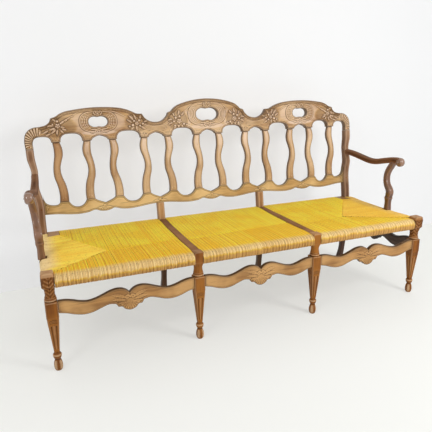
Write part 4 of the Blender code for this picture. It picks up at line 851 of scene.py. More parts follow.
def front_leg(name, x, knee, look, tip):
    rows = list(FOOT_rows) + list(END_NECK_rows if knee else NECK_rows)
    if knee:
        rows += [(0.3935, 0.0227, 0.85), (0.398, 0.023, 1), (0.403, 0.0234, 1), (0.409, 0.0235, 1)]
        rows += [(0.462, 0.0235, 1), (0.4665, 0.0228, 1), (KNEE_HIGH, 0.021, 1)]
    else:
        rows += [(0.396, 0.0214, 0.7), (0.4015, 0.0221, 1), (0.4045, 0.0228, 1), (0.406, 0.0235, 1)]
        rows += [(LEG_TOP_HIGH - 0.0025, 0.0235, 1), (LEG_TOP_HIGH, 0.021, 1)]

    def shape(px, py, z, half, square):
        on_x = abs(px) > abs(py)
        u = np.where(on_x, py, px) / np.maximum(half, 1e-6)
        # two grooves on each face of the shaft, stopped above and below, with painted shade in them and at the
        # face's edges and a painted highlight down its middle
        low = step_up(z, 0.104, 0.112) * (1 - step_up(z + 0.01 * u ** 2, 0.224, 0.23))
        flute = low * groove(abs(u), 0.5, 0.17)
        deep = 0.0022 * flute
        stain = 0.45 * flute - 0.18 * low * groove(u, 0, 0.24) + 0.3 * step_up(abs(u), 0.72, 0.95)
        # three cut lines under the block, and a lunette round them, with painted shade in the cuts
        for level in (0.24, 0.2465, 0.253):
            line = groove(z + 0.01 * u ** 2, level, 0.0015) * (abs(u) < 0.72)
            deep, stain = deep + 0.0012 * line, stain + 0.6 * line
        # a border cut in the faces of the block, with painted shade in it
        block = (z > LEG_BLOCK_LOW) & (z < LEG_BLOCK_HIGH)
        cut = block * (groove(abs(u), 0.78, 0.05) + groove(z, 0.327, 0.0012))
        deep, stain = deep + 0.0006 * cut, stain + 0.4 * cut
        # beads of the foot: petals round the bud
        bud = step_up(z, 0.004, 0.014) * (1 - step_up(z, 0.046, 0.055)) * (1 - square)
        deep = deep + 0.0011 * bud * np.abs(np.cos(4 * np.arctan2(py, px))) ** 6
        # painted shade in the grooves of the foot, and painted highlights on its ring and on the ring under the
        # neck
        stain = stain + 0.35 * groove(z, 0.057, 0.004) + 0.35 * groove(z, 0.088, 0.004)
        stain = stain - 0.5 * groove(z, 0.0775, 0.003) - 0.45 * groove(z, 0.343, 0.0025)
        stain = stain + bud * (0.15 - 0.8 * np.abs(np.cos(2 * np.arctan2(py, px) + pi / 2)) ** 2)
        stain = stain + tip * step_up(z, 0.45, 0.4555)
        if knee:
            way = step_up(z, 0.395, 0.412) * (1 - 0.35 * step_up(z, 0.44, KNEE_HIGH))
            out_x = KNEE_OUT * way * (px * knee > 0) * np.minimum(1, abs(px) / half)
            out_y = KNEE_OUT * way * (py < 0) * np.minimum(1, abs(py) / half)
            # the leaf on the knee runs down the neck to its ring
            zone = step_up(z, 0.352, 0.36) * (1 - step_up(z, 0.45, 0.456))
            up = (z - 0.352) / 0.104
            body = 0.34 + 0.56 * np.sin(pi * np.clip(up * 0.9 + 0.1, 0, 1)) ** 0.7
            lobes = 0.5 + 0.5 * np.cos(2 * pi * (up * 5.5 - abs(u) * 1.2))
            ground = step_up(abs(u), body * 0.92, body * 1.05) * (1 - step_up(up, 0.75, 0.95))
            cut = 0.0014 * (1 - lobes) * (abs(u) < body) + 0.0018 * groove(u, 0, 0.08)
            deep = deep + zone * (0.0024 * ground + cut)
            # darker in the leaf's ground and paler on its lobes, partly the wood's tone and partly painted shade
            # and highlight
            stain = stain + zone * (0.62 - 0.5 * lobes * (abs(u) < body))
            px, py = px + knee * out_x, py - out_y
        size = np.maximum(np.hypot(px, py), 1e-6)
        return px * (1 - deep / size), py * (1 - deep / size), stain * np.ones_like(px)

    return turned(name, x, FRONT_Y, rows, shape, look, "oak")


def limb(name, stations, look, slot, first, last, round_share=7.0, step=0.006, dark=None, flank_shade=0.2):
    """A bar along stations (x, y, z, width, depth), with eased edges and slightly domed ends.

    first and last are its directions at the ends, and dark the heights between which it darkens downwards, as
    painted shade under the seat; its sides facing along x are darker by a share, as painted shade.
    """
    sides = 40
    rows = smooth(stations, step)
    a = np.linspace(0, 2 * pi, sides, endpoint=False) + pi / sides
    c, s = np.cos(a), np.sin(a)
    reach = (abs(c) ** round_share + abs(s) ** round_share) ** (-1 / round_share)
    ways = np.gradient(rows[:, :3], axis=0)
    ways[0], ways[-1] = first, last
    rings = []
    for row, way in zip(rows, ways):
        inward = np.array([0, way[2], -way[1]])
        rings.append((row[:3], row[3] / 2, row[4] / 2, inward / np.linalg.norm(inward)))

    def end(ring, way):
        """The smaller ring that eases an end, and the full one behind it."""
        centre, half, deep, inward = ring
        way = np.array(way) / np.linalg.norm(way) * 0.0012
        return [(centre, half * 0.93, deep * 0.93, inward), (centre + way, half, deep, inward)]

    full = [*end(rings[0], first), *rings[1:-1], *reversed(end(rings[-1], [-w for w in last]))]
    points = np.vstack([
        centre + np.outer(c * reach * half, (1, 0, 0)) + np.outer(s * reach * deep, inward)
        for centre, half, deep, inward in full
    ])
    faces = tube_faces(len(full), sides)
    faces.append(list(range(sides))[::-1])
    faces.append([(len(full) - 1) * sides + j for j in range(sides)])
    # painted shade: darker below the seat, in colour and in the hollows' share, and darker on the sides across x
    shade_below = 1 - step_up(points[:, 2], *dark) if dark else np.zeros(len(points))
    stain = shade_below + flank_shade * np.tile(step_up(abs(c * reach), 0.6, 0.96), len(full))
    return new_piece(name, points, faces, look, slot, cavity=hollows(points, faces) + shade_below * 0.5, stain=stain)


def on_back(x, along):
    return (x, BACK_Y + along * sin(RAKE), BEND_HEIGHT + along * cos(RAKE))


def back_leg_stations(x, width):
    return [
        (x, BACK_Y + FOOT_SPLAY * splay, BEND_HEIGHT * up, width * share, POST_DEPTH * share)
        for up, splay, share in BACK_LEG_shares
    ]


def posts(look, middle_look):
    lean = (0, sin(RAKE), cos(RAKE))
    for side, tag in BOTH_SIDES:
        rows = back_leg_stations(side * END_POST_X, POST_WIDTH)
        for along, sway, share in END_POST_shares:
            place = on_back(side * (END_POST_X + POST_WIDTH * sway), POST_TOP * along)
            rows.append((*place, POST_WIDTH * share, POST_DEPTH))
        piece = limb("end_post_" + tag, rows, look, "oak", (0, 0, 1), lean, dark=(0.34, 0.43), flank_shade=0.5)
        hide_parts("back_post_" + tag)
        rows = back_leg_stations(side * MIDDLE_LEG_X, MIDDLE_POST_WIDTH)
        rows.append((*on_back(side * MIDDLE_LEG_X, LOWER_RAIL_BOTTOM - FIT_GAP), MIDDLE_POST_WIDTH, POST_DEPTH))
        piece = limb("mid_post_" + tag, rows, middle_look, "oak", (0, 0, 1), lean, dark=(0.34, 0.43), flank_shade=0.5)
        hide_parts("middle_post_" + tag)


JOINT_X = END_POST_X + POST_WIDTH * 0.1662
FORWARD = np.array((0, -cos(RAKE), sin(RAKE)))
ARM_ROOT = np.array(on_back(JOINT_X, ARM_JOINT)) + FORWARD * (POST_DEPTH / 2 + FIT_GAP)


def arms(look, scroll_look, post_look):
    for side, tag in BOTH_SIDES:
        rows = []
        for along, sag, swing in ARM_shares:
            x = ARM_ROOT[0] + ARM_OUT * swing
            y = ARM_ROOT[1] + (SCROLL_Y - ARM_ROOT[1]) * along
            rows.append((side * x, y, ARM_ROOT[2] + ARM_SAG * sag, ARM_WIDTH, ARM_DEPTH))
        arm = limb("arm_rest_" + tag, rows, look, "dark_oak", FORWARD, (0, -1, 0), 3.4)
        centre = Vector((side * (ARM_ROOT[0] + ARM_OUT), SCROLL_Y, ARM_ROOT[2] - SCROLL_DROP))
        t = np.linspace(0, 2 * pi, 30, endpoint=False)
        rim = np.stack([SCROLL_RADIUS * np.cos(t), SCROLL_RADIUS * np.sin(t)], 1)

        def face(p, away, edges, near):
            spiral = rope(p, volute((0, 0), 0.0185, 1.75, 1, 0.5), [0.0011, 0.0015, 0.0011], 0.0016)
            eye = 0.0016 * step_up(0.006 - np.hypot(*p.T), 0, 0.003)
            return eased(away, 0.0155) - spiral + eye, np.zeros(len(p))

        place = Matrix.Translation(centre) @ Matrix.Rotation(pi / 2, 4, "Z")
        scroll = carve(
            "arm_scroll_" + tag, [rim], SCROLL_WIDTH, face, scroll_look, "dark_oak", place,
            0.0022, 0.0028, both=True, border=0,
        )
        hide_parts("arm_" + tag)
        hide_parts("arm_" + tag)
        rows = []
        for up, sway, share in SUPPORT_shares:
            x = side * (SUPPORT_X + (ARM_ROOT[0] + ARM_OUT * SUPPORT_LEAN - SUPPORT_X) * up ** 2)
            z = SUPPORT_FOOT + (SUPPORT_TOP - SUPPORT_FOOT) * up
            rows.append((x, SUPPORT_Y + SUPPORT_WIDTH * sway, z, SUPPORT_WIDTH * share, SUPPORT_WIDTH * share))
        piece = limb("arm_post_" + tag, rows, post_look, "dark_oak", (0, 0, 1), (0, 0, 1), 5.0, step=0.004)
        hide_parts("arm_support_" + tag)


# Rush

def section_path():
    """The rush's outer face from under the front, over the top, to under the back: (y, z) from the front."""
    low = SEAT_HEIGHT - RUSH_THICKNESS - 0.005     # the strands sag a little below the panel
    shares = (
        (0.1, 0.02), (0.035, 0.0), (0.01, 0.1), (0.0, 0.45), (0.006, 0.76), (0.026, 0.96), (0.06, 1.0),
        (0.3, 0.965), (0.5, 0.95), (0.72, 0.965), (0.95, 1.0), (0.982, 0.95), (0.996, 0.76), (1.0, 0.42),
        (0.994, 0.18), (0.97, 0.02), (0.9, 0.05),
    )
    return [(FRONT_Y - RUSH_FRONT + RUSH_DEPTH * w, low + (SEAT_HEIGHT - low) * h) for w, h in shares]


SECTION = smooth(section_path(), 0.004)
PITCH = 0.0064
STRAND_THICK = 0.0056
# The mitres of the end panels, from the apex of the side strands to the corners
MITRE_FRONT = (0.977, FRONT_Y + 0.024)
APEX = {-1: (0.718, FRONT_Y + 0.21), 1: (0.659, FRONT_Y + 0.222)}
MITRE_BACK = (0.911, FRONT_Y + 0.557)
BARE_Y = FRONT_Y + 0.5592       # behind it the side strands start at the bare corner block
BARE_X = 0.974
SEAM_WANDER = 0.0018
ROLL = 14                       # points of the section that a strand runs on under its rail


def crown(y):
    """Height of the rush's top at a depth."""
    run = SECTION[(SECTION[:, 1] > SEAT_HEIGHT - 0.012)]
    return np.interp(y, run[:, 0], run[:, 1])


def strand_tubes(paths, width, thick):
    """One mesh of flattened round strands. A path is (points, ways up, way across, tone, pale, low)."""
    sides = 8
    t = np.linspace(0, 2 * pi, sides, endpoint=False)
    # painted shade on each strand's lower sides, where it meets the next
    gap_shade = np.clip(1 - np.sin(t) * 1.25, 0, 1)
    points, faces, tones, pales, lows, gap_shades = [], [], [], [], [], []
    for path, ups, across, tone, pale, low in paths:
        faces += tube_faces(len(path), sides, len(points))
        for place, up in zip(path, ups):
            for a in t:
                points.append(place + across * (cos(a) * width / 2) + up * (sin(a) * thick / 2))
        tones += [tone] * (len(path) * sides)
        pales += list(np.repeat(pale, sides))
        lows += list(np.repeat(low, sides))
        gap_shades += list(gap_shade) * len(path)
    return points, faces, {"tone": tones, "pale": pales, "low": lows, "gap_shade": gap_shades}


def normals_of(path, across):
    """Directions out of the rush along a path, square to the path and to its sideways direction."""
    way = np.gradient(path, axis=0)
    way /= np.linalg.norm(way, axis=1)[:, None] + 1e-12
    up = np.cross(across, way)
    return up / (np.linalg.norm(up, axis=1)[:, None] + 1e-12)


def laid(path, across, rng):
    """A strand's path moved from the rush's outer face to the strand's middle, and the ways out of the rush."""
    ups = normals_of(path, across)
    return path - ups * (STRAND_THICK / 2 - rng.uniform(-0.0003, 0.0006)), ups


def wrap_strand(x, seam, front, rng, tone, panel, brown):
    """A strand along Y, over the front or the back rail and down at the seam."""
    way = 1 if front else -1
    if front:
        run = SECTION[SECTION[:, 0].argmin() - ROLL:]
    else:
        run = SECTION[:SECTION[:, 0].argmax() + ROLL][::-1]
    before = (run[:, 0] * way < seam * way) & (run[:, 1] > SEAT_HEIGHT - 0.02)
    run = run[:np.flatnonzero(before).max() + 1]
    # all points round the roll, and every fifth one on the flat
    thin = np.concatenate([np.arange(0, 34), np.arange(34, len(run), 5)])
    run = run[thin[thin < len(run)]]
    run = np.vstack([run, (seam, run[-1, 1] - 0.001), (seam + 0.002 * way, run[-1, 1] - 0.006)])
    path = np.stack([np.full(len(run), x), run[:, 0], run[:, 1]], 1)
    wander = rng.normal(0, 0.00028, 3)
    s = np.linspace(0, 1, len(path))
    path[:, 0] += wander[0] * np.sin(3 * s) + wander[1] * np.sin(8 * s + 1)
    across = np.array([1.0, 0, 0])
    path, ups = laid(path, across * way, rng)
    edge = FRONT_Y - RUSH_FRONT + (0 if front else RUSH_DEPTH)
    fade = rng.normal(0, 0.0025)
    # straw over the roll's top, partly the straw's colour and partly a painted highlight, and tan lower on the roll
    # as painted shade
    pale = 1 - step_up(abs(run[:, 0] - edge) + fade, 0.012, 0.056)
    start_at = SEAT_HEIGHT - (0.034 if panel < 0 else 0.026) + fade
    pale = pale * step_up(run[:, 1], start_at, start_at + 0.012) * (0.85 if front else 0.25)
    low = 1 - step_up(run[:, 1], start_at - 0.006, start_at + 0.012)
    return path, ups, across, tone, pale, np.maximum(low * (run[:, 0] < FRONT_Y + 0.1), brown)


def gore_strand(side, y, inner, rng, tone, stop):
    """A strand along X over the side rail, from the mitre to under the rail."""
    outer = END_LEG_X + 0.027 if stop is None else stop
    z = float(crown(y))
    if stop is None:
        bend = [(outer - 0.024, z), (outer - 0.01, z - 0.003), (outer - 0.003, z - 0.011), (outer, z - 0.026)]
        bend += [(outer - 0.0025, z - 0.04), (outer - 0.01, z - 0.05), (outer - 0.03, z - 0.053)]
    else:
        bend = [(outer - 0.01, z), (outer - 0.003, z - 0.002), (outer - 0.001, z - 0.012)]
    xs = np.linspace(inner, bend[0][0], 9)[:-1]
    run = smooth([(inner - 0.002, z - 0.006), (inner, z - 0.001), *[(x, z) for x in xs[1:]], *bend], 0.006)
    s = np.clip((run[:, 0] - inner) / (outer - inner), 0, 1)
    middle = APEX[-1][1] + 0.03
    pull = 0.01 * np.sin(pi * s) * np.clip((middle - y) / 0.2, -1, 1)
    path = np.stack([side * run[:, 0], y + pull + rng.normal(0, 0.0004), run[:, 1]], 1)
    across = np.array([0, 1.0, 0])
    path, ups = laid(path, across * -side, rng)
    # straw towards the outer edge, partly a painted highlight; the right side's strands get less straw and some
    # tan, as painted shade
    pale = 0.15 + 0.75 * step_up(run[:, 0] - 0.05 * step_up(FRONT_Y + 0.09 - y, 0, 0.06), 0.925, END_LEG_X)
    pale_share, low = (1.0, 0.0) if side < 0 else (0.5, 0.24)
    return path, ups, across, tone, pale * pale_share, np.full(len(path), low)


def seam_at(x, panel):
    """y of the seam between the front and the back strands."""
    if panel == 0:
        return float(np.interp(x, (-0.25, 0.264), (FRONT_Y + 0.207, FRONT_Y + 0.25)))
    ax, ay = APEX[panel]
    end = FRONT_Y + (0.238 if panel < 0 else 0.195)
    return float(np.interp(abs(x), (0.35, ax), (end, ay)))


def mitre_y(x, panel, front):
    """y at which a front or a back strand at x meets the side strands, or None."""
    ax, ay = APEX[panel]
    mx, my = MITRE_FRONT if front else MITRE_BACK
    if abs(x) <= ax:
        return None
    return float(np.interp(abs(x), (ax, mx), (ay, my)))


def mitre_x(y, panel):
    ax, ay = APEX[panel]
    if y < ay:
        return float(np.interp(y, (MITRE_FRONT[1], ay), (MITRE_FRONT[0], ax)))
    return float(np.interp(y, (ay, MITRE_BACK[1]), (ax, MITRE_BACK[0])))


def turn_of(i):
    """Strands stand out and lie back in turn: 1 to -1 for strand i."""
    return sin(2 * pi * i / 2.7 + 0.05 * i)


def twisted(i, tone, rng):
    """The tone of strand i: lighter and darker in turn, and a little by chance."""
    return np.clip(tone + 0.24 * turn_of(i) + rng.normal(0, 0.12), 0, 1)


def strand_places(low, high):
    count = round((high - low) / PITCH)
    return [low + (high - low) * (i + 0.5) / count for i in range(count)]


# Tones of the front and the back strands, brown share, tone of the side strands
PANEL_TONES = {-1: ((0.42, 0.8), 0.06, 0.6), 0: ((0.5, 0.86), 0.22, None), 1: ((0.62, 0.84), 0.26, 0.42)}
CORE_SHRINK = 0.0044
# Inner and outer end of an end panel's front strands, outer end of its back strands, ends of its side strands
END_RUSH, END_RUSH_BACK = (0.3484, 0.9762), 0.9108
SIDE_RUSH = (FRONT_Y + 0.0275, FRONT_Y + 0.613)
MIDDLE_RUSH = (-0.3066, 0.3066)


def rush_panel(tag, panel, look, dark):
    """The strands of a panel, and a dark copy of its solid inside them, as painted shade between the strands. panel
    is -1, 0 or 1 from the left.
    """
    rng = np.random.default_rng(7 + panel)
    inner, outer = END_RUSH if panel else MIDDLE_RUSH
    side = panel or 1
    tones, browns, side_tone = PANEL_TONES[panel]
    paths = []
    for front, end in ((True, outer), (False, END_RUSH_BACK if panel else outer)):
        for i, place in enumerate(strand_places(inner, end)):
            x = side * place
            seam = (mitre_y(x, panel, front) if panel else None) or seam_at(x, panel)
            seam += (-0.0004 if front else 0.0004) + rng.normal(0, SEAM_WANDER)
            brown = browns * max(0, -turn_of(i))
            paths.append(wrap_strand(x, seam, front, rng, twisted(i, tones[not front], rng), panel, brown))
    for i, y in enumerate(strand_places(*SIDE_RUSH) if panel else ()):
        beside = abs(y - SUPPORT_Y) < SUPPORT_WIDTH / 2 + 0.004
        stop = SUPPORT_X - SUPPORT_WIDTH / 2 - 0.0015 if beside else None
        x = mitre_x(y, panel) + 0.0004 + rng.normal(0, SEAM_WANDER) if y < BARE_Y else BARE_X
        paths.append(gore_strand(side, y, x, rng, twisted(i, side_tone, rng), stop))
    points, faces, values = strand_tubes(paths, PITCH * 1.02, STRAND_THICK)
    weave = new_piece("weave_" + tag, points, faces, look, "rush", **values)
    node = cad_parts["rush_" + tag]
    mesh = node.data.copy()
    core = linked("rush_core_" + tag, mesh)
    shift = np.zeros(len(mesh.vertices) * 3)
    mesh.vertices.foreach_get("normal", shift)
    place = np.zeros(len(mesh.vertices) * 3)
    mesh.vertices.foreach_get("co", place)
    mesh.vertices.foreach_set("co", place - shift * CORE_SHRINK)
    mesh.materials.clear()
    mesh.materials.append(dark)
    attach(core, "root")
    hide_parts("rush_" + tag)
    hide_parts("rush_" + tag)


# Materials

def nodes_of(name):
    made = bpy.data.materials.new(name)
    made.use_nodes = True
    tree = made.node_tree
    return made, tree, tree.nodes["Principled BSDF"]


def wire(tree, node, sockets):
    """Links or sets a node's inputs. A colour leaves out its alpha."""
    for key, value in sockets.items():
        socket = node.inputs[key]
        if isinstance(value, bpy.types.NodeSocket):
            tree.links.new(value, socket)
        else:
            socket.default_value = (*value, 1) if socket.type == "RGBA" else value


def add(tree, kind, sockets=None, **settings):
    """A shader node, whose kind leaves out the word ShaderNode."""
    node = tree.nodes.new("ShaderNode" + kind)
    for key, value in settings.items():
        setattr(node, key, value)
    wire(tree, node, sockets or {})
    return node


def mix(tree, share, one, other):
    return add(tree, "Mix", {0: share, 6: one, 7: other}, data_type="RGBA").outputs[2]


def layered(tree, colour, *layers):
    """A colour under layers, each given as its share and its own colour."""
    for share, over in layers:
        colour = mix(tree, share, colour, over)
    return colour


def ramp(tree, value, low, high, by=1.0):
    """0 below low, by above high, smooth between."""
    sockets = {"Value": value, "From Min": low, "From Max": high}
    found = add(tree, "MapRange", sockets, interpolation_type="SMOOTHSTEP").outputs["Result"]
    return found if by == 1.0 else times(tree, found, by)


def times(tree, value, by):
    return add(tree, "Math", {0: value, 1: by}, operation="MULTIPLY").outputs[0]


def attribute(tree, name):
    return add(tree, "Attribute", attribute_name=name).outputs["Fac"]


def noise(tree, scale, stretch=(1, 1, 1), detail=3.0, rough=0.55, distort=0.0):
    """Noise in object space, stretched along one axis."""
    where = add(tree, "TexCoord").outputs["Object"]
    where = add(tree, "Mapping", {"Vector": where, "Scale": stretch}).outputs["Vector"]
    sockets = {"Vector": where, "Scale": scale, "Detail": detail, "Roughness": rough, "Distortion": distort}
    return add(tree, "TexNoise", sockets).outputs["Fac"]


def oak(name, along, dark, middle, light, gloss=0.42, wear_and_highlight=0.6, shine=0.35, pale=None, coat=0.0):
    """Waxed oak with its grain along an axis: streaks, pores, dirt and painted shade in the hollows and along the
    edges, and worn edges that are partly painted highlights.
    """
    made, tree, shader = nodes_of(name)

    def stretched(by):
        return [by if axis == along else 1.0 for axis in "xyz"]

    def darker(by):
        return [c * by for c in dark]

    streak = noise(tree, 34.0, stretched(0.07), 5.0, 0.6, 0.6)
    cloud = noise(tree, 5.0)
    pore = noise(tree, 330.0, stretched(0.03), 2.0)
    tint_and_painted_light, hollow_and_shade, edge = (attribute(tree, key) for key in ("stain", "cavity", "rim"))
    unstained = add(tree, "Math", {0: 1.0, 1: tint_and_painted_light}, operation="SUBTRACT", use_clamp=True).outputs[0]
    worn_and_highlit = ramp(tree, times(tree, hollow_and_shade, -1.0), 0.15, 0.9, wear_and_highlight)
    bleach_and_highlight = pale or [min(1, c * 1.25 + 0.03) for c in light]
    # a stain above 0 darkens, and one below 0 bleaches; the same value also paints shade and highlight
    colour = layered(
        tree, dark,
        (ramp(tree, streak, 0.34, 0.68), middle),
        (ramp(tree, cloud, 0.38, 0.66), light),
        (times(tree, tint_and_painted_light, 0.9), darker(0.48)),
        (times(tree, tint_and_painted_light, -0.9), bleach_and_highlight),
        (ramp(tree, pore, 0.6, 0.72, 0.45), darker(0.4)),
        # ridges paler, partly from wear and partly as a painted highlight
        (times(tree, worn_and_highlit, unstained), bleach_and_highlight),
        # dirt and painted shade in the hollows
        (ramp(tree, hollow_and_shade, 0.1, 0.8, 0.8), darker(0.22)),
        # dirt and painted shade along the edges
        (times(tree, edge, 0.85), darker(0.24)),
    )
    rough = add(tree, "MapRange", {"Value": streak, "To Min": gloss - 0.08, "To Max": gloss + 0.14})
    bump = add(tree, "Bump", {"Strength": 0.35, "Distance": 0.0006, "Height": mix(tree, 0.5, streak, pore)})
    wire(tree, shader, {
        "Base Color": colour, "Roughness": rough.outputs["Result"], "Normal": bump.outputs["Normal"],
        "Specular IOR Level": shine, "Coat Weight": coat, "Coat Roughness": 0.14, "Coat IOR": 1.75,
    })
    return made


def rush_look(name):
    """Rush from orange to yellow by the strand's tone; straw where pale, partly a painted highlight; tan where low,
    partly painted shade; painted shade in the gaps between strands.
    """
    made, tree, shader = nodes_of(name)
    tone, pale, low, gap_shade = (attribute(tree, key) for key in ("tone", "pale", "low", "gap_shade"))
    fleck = noise(tree, 120.0)
    patch = noise(tree, 7.0, detail=2.0)
    straw = mix(tree, ramp(tree, tone, 0.05, 0.85), (0.7, 0.47, 0.21), (0.9, 0.68, 0.36))
    tan = mix(tree, ramp(tree, tone, 0.1, 0.7), (0.36, 0.175, 0.042), (0.64, 0.36, 0.11))
    colour = layered(
        tree, (0.92, 0.45, 0.008),
        (ramp(tree, tone, 0.0, 1.0), (1.0, 0.81, 0.052)),
        (ramp(tree, patch, 0.4, 0.66, 0.5), (0.96, 0.56, 0.012)),
        (pale, straw),
        (low, tan),
        (ramp(tree, fleck, 0.52, 0.74, 0.42), (0.36, 0.18, 0.03)),
        (ramp(tree, gap_shade, 0.2, 1.0, 0.46), (0.22, 0.085, 0.008)),
    )
    bump = add(tree, "Bump", {"Strength": 0.5, "Distance": 0.0006, "Height": fleck})
    wire(tree, shader, {
        "Base Color": colour, "Roughness": 0.55, "Specular IOR Level": 0.25, "Normal": bump.outputs["Normal"],
    })
    return made


def plain(name, colour, rough):
    """One colour in two close shades."""
    made, tree, shader = nodes_of(name)
    shade = mix(tree, ramp(tree, noise(tree, 14.0), 0.35, 0.7), [c * 0.9 for c in colour], colour)
    wire(tree, shader, {"Base Color": shade, "Roughness": rough})
    return made


# Dark, middle and light tone of each wood, and two pale ones, for bleached wear and painted highlight
PALE = ((0.37, 0.19, 0.07), (0.57, 0.345, 0.145), (0.69, 0.465, 0.25))
OCHRE = ((0.46, 0.26, 0.08), (0.69, 0.435, 0.165), (0.82, 0.57, 0.26))
AMBER = ((0.26, 0.11, 0.034), (0.43, 0.22, 0.085), (0.53, 0.3, 0.13))
TAN = ((0.15, 0.042, 0.005), (0.26, 0.084, 0.009), (0.33, 0.122, 0.017))
POST = ((0.14, 0.055, 0.02), (0.25, 0.118, 0.05), (0.34, 0.19, 0.1))
SPAN = ((0.25, 0.112, 0.03), (0.46, 0.232, 0.07), (0.56, 0.31, 0.11))
BROWN = ((0.085, 0.03, 0.009), (0.15, 0.056, 0.019), (0.2, 0.086, 0.034))
DIVIDER = ((0.17, 0.07, 0.026), (0.26, 0.115, 0.046), (0.33, 0.16, 0.07))
# painted shade: a dark wood for the pieces under and behind the seat, which stand in shadow
SHADE = ((0.036, 0.016, 0.006), (0.06, 0.027, 0.01), (0.085, 0.042, 0.018))
PINK, CREAM = (0.84, 0.64, 0.5), (0.8, 0.56, 0.33)
back_x = oak("oak_back_long", "x", *PALE, wear_and_highlight=0.5, pale=PINK)
back_z = oak("oak_back_upright", "z", *PALE, pale=PINK)
low_x = oak("oak_back_low", "x", *OCHRE, wear_and_highlight=0.4)
first_z = oak("oak_back_end", "z", *AMBER, pale=(0.66, 0.42, 0.24))
leg_z = oak("oak_leg", "z", *TAN, gloss=0.5, wear_and_highlight=0.22, shine=0.2, pale=CREAM)
post_z = oak("oak_post", "z", *POST, wear_and_highlight=0.4, pale=(0.62, 0.42, 0.29))
rail_x = oak("oak_rail_long", "x", *SPAN, wear_and_highlight=0.45)
rail_y_shaded = oak("oak_rail_cross_shaded", "y", *SHADE)
dark_y = oak("oak_arm", "y", *BROWN, gloss=0.55, shine=0.12)
scroll_y = oak("oak_arm_scroll", "y", *BROWN, gloss=0.4, shine=0.4, coat=1.0)
support_z = oak("oak_arm_support", "z", *BROWN, gloss=0.4, shine=0.4, coat=0.45)
dark_x_shaded = oak("oak_long_shaded", "x", *SHADE)
divider_y = oak("oak_divider", "y", *DIVIDER, gloss=0.6, shine=0.12)
rush = rush_look("rush_strands")
rush_shade_core = plain("rush_inside_shade", (0.16, 0.07, 0.012), 0.9)

# The pieces
crest = carve(
    "crest_carved", crest_loops(), CREST_THICK, crest_height, back_x, "pale_oak", BACK, 0.0019, border=0.005
)
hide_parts("crest_rail")
lower = carve("lower_rail_carved", lower_loops(), LOWER_RAIL_THICK, lower_height, low_x, "pale_oak", BACK)
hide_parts("lower_back_rail")
for number, (slat_x, sway_way) in enumerate(SLATS, 1):
    slat_name = "slat_%02d" % number
    height, slat_look = slat_height(SLAT_HIGHLIGHT[number - 1]), first_z if number == 1 else back_z
    loop = slat_loop(slat_x, sway_way)
    slat = carve(slat_name + "_shaped", [loop], SLAT_THICK, height, slat_look, "pale_oak", BACK, 0.004)
    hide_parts(slat_name)

STRETCHER_Y = FRONT_Y + 0.015 - LEG_BLOCK_HALF
LEGS = (-END_LEG_X, -MIDDLE_LEG_X, MIDDLE_LEG_X, END_LEG_X)
for i, bay in enumerate(("left", "middle", "right")):
    half_length = (LEGS[i + 1] - LEGS[i]) / 2 - LEG_BLOCK_HALF - FIT_GAP
    spot = Matrix.Translation(((LEGS[i] + LEGS[i + 1]) / 2, STRETCHER_Y, 0))
    loop = stretcher_loop(half_length)
    board = carve(
        "stretcher_" + bay, [loop], STRETCHER_THICK, stretcher_height, rail_x, "oak", spot, border=0.0046
    )
    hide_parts("front_stretcher_" + bay)
for way, bay in BOTH_SIDES:
    start_at, end_at = LEG_BLOCK_HALF + FIT_GAP, SEAT_DEPTH - POST_DEPTH / 2 - FIT_GAP
    spot = Matrix.Translation((way * SIDE_X, FRONT_Y + (start_at + end_at) / 2, 0))
    spot = spot @ Matrix.Rotation(way * pi / 2, 4, "Z")
    loop = stretcher_loop((end_at - start_at) / 2)
    board = carve("cross_stretcher_" + bay, [loop], STRETCHER_THICK, stretcher_height, rail_y_shaded, "oak", spot)
    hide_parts("side_stretcher_" + bay)

LEG_TIPS = (-0.35, 0.25, -0.05, -0.15)      # tone on top of each leg: above 0 darker, below 0 paler
for number, (leg_x, knee_side) in enumerate(zip(LEGS, (-1, 0, 0, 1)), 1):
    leg = front_leg("leg_%d" % number, leg_x, knee_side, leg_z, LEG_TIPS[number - 1])
    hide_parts("front_leg_%d" % number)
posts(post_z, first_z)
arms(dark_y, scroll_y, support_z)
for bay, panel_side in (("left", -1), ("middle", 0), ("right", 1)):
    rush_panel(bay, panel_side, rush, rush_shade_core)

# the solids that stay in sight
STILL_SEEN = (("divider", divider_y), ("back_stretcher", dark_x_shaded), ("side_rail", rail_y_shaded), ("peg", leg_z))
for node_name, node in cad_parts.items():
    look = next((look for part, look in STILL_SEEN if part in node_name), rail_x)
    node.data.materials.clear()
    node.data.materials.append(look)

# Floor, wall, light and camera

def looked_at(tree):
    """1 for what the camera sees directly, in a reflection or through glass."""
    rays = add(tree, "LightPath").outputs
    share = rays["Is Camera Ray"]
    for kind in ("Is Glossy Ray", "Is Transmission Ray"):
        share = add(tree, "Math", {0: share, 1: rays[kind]}, operation="MAXIMUM").outputs[0]
    return share


def blend(tree, share, one, other, end="Material Output"):
    """Two shaders by a share, as what a material or the world shows."""
    both = add(tree, "MixShader", {0: share, 1: one.outputs[0], 2: other.outputs[0]})
    tree.links.new(both.outputs[0], tree.nodes[end].inputs["Surface"])
    return both


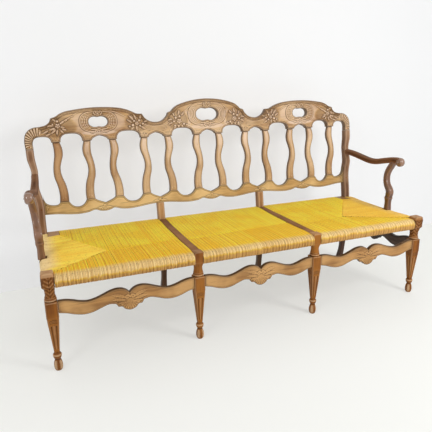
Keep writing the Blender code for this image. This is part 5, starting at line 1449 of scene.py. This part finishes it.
def stage_plane(name, corners, colour, glow_colour, strength, part):
    """A bright surface: part of what the camera sees of it is its own glow, which lights nothing."""
    mesh = bpy.data.meshes.new(name)
    mesh.from_pydata(corners, [], [list(range(len(corners)))])
    piece = linked(name, mesh)
    made, tree, shader = nodes_of(name)
    wire(tree, shader, {"Base Color": colour, "Roughness": 0.75})
    glow = add(tree, "Emission", {"Strength": strength, "Color": glow_colour})
    both = blend(tree, times(tree, looked_at(tree), part), shader, glow)
    mesh.materials.append(made)
    return tree, both


WALL_Y = FRONT_Y + 1.0
FAR = 9.0
stage_plane(
    "floor", [(-FAR, -FAR, 0), (FAR, -FAR, 0), (FAR, FAR, 0), (-FAR, FAR, 0)],
    (0.9, 0.905, 0.87), (1.0, 1.0, 0.965), 0.97, 0.52,
)
wall_tree, wall_shader = stage_plane(
    "wall", [(-FAR, WALL_Y, 0), (FAR, WALL_Y, 0), (FAR, WALL_Y, FAR), (-FAR, WALL_Y, FAR)],
    (0.9, 0.91, 0.925), (1.0, 1.0, 1.0), 0.98, 0.5,
)
# the wall lets views from behind through
behind = add(wall_tree, "NewGeometry").outputs["Backfacing"]
blend(wall_tree, behind, wall_shader, add(wall_tree, "BsdfTransparent"))

world = bpy.data.worlds.new("studio")
bpy.context.scene.world = world
world.use_nodes = True
sky = world.node_tree
ground = sky.nodes["Background"]
wire(sky, ground, {"Color": (1, 1, 1), "Strength": 0.6})
bright = add(sky, "Background", {"Color": (0.97, 0.97, 0.97), "Strength": 0.95})
blend(sky, looked_at(sky), ground, bright, "World Output")


def softbox(name, place, aim, power):
    lamp = bpy.data.lights.new(name, "AREA")
    lamp.shape = "SQUARE"
    lamp.size = 0.9
    lamp.energy = power
    holder = linked(name, lamp)
    holder.location = place
    holder.rotation_euler = (Vector(aim) - Vector(place)).to_track_quat("-Z", "Y").to_euler()


softbox("left_lamp", (-2.6, -2.3, 2.1), (-0.3, 0, 0.5), 18.5)
softbox("right_lamp", (1.5, -2.3, 1.9), (0.2, 0, 0.5), 37)

camera = linked("camera", bpy.data.cameras.new("camera"))
camera.data.lens = 38.87
camera.data.sensor_width = 36
camera.location = (-1.01, FRONT_Y - 1.967, 1.215)
camera.rotation_euler = Euler((radians(74.29), radians(1.04), radians(-21.92)))
bpy.context.scene.camera = camera
bpy.context.scene.view_settings.view_transform = "Standard"
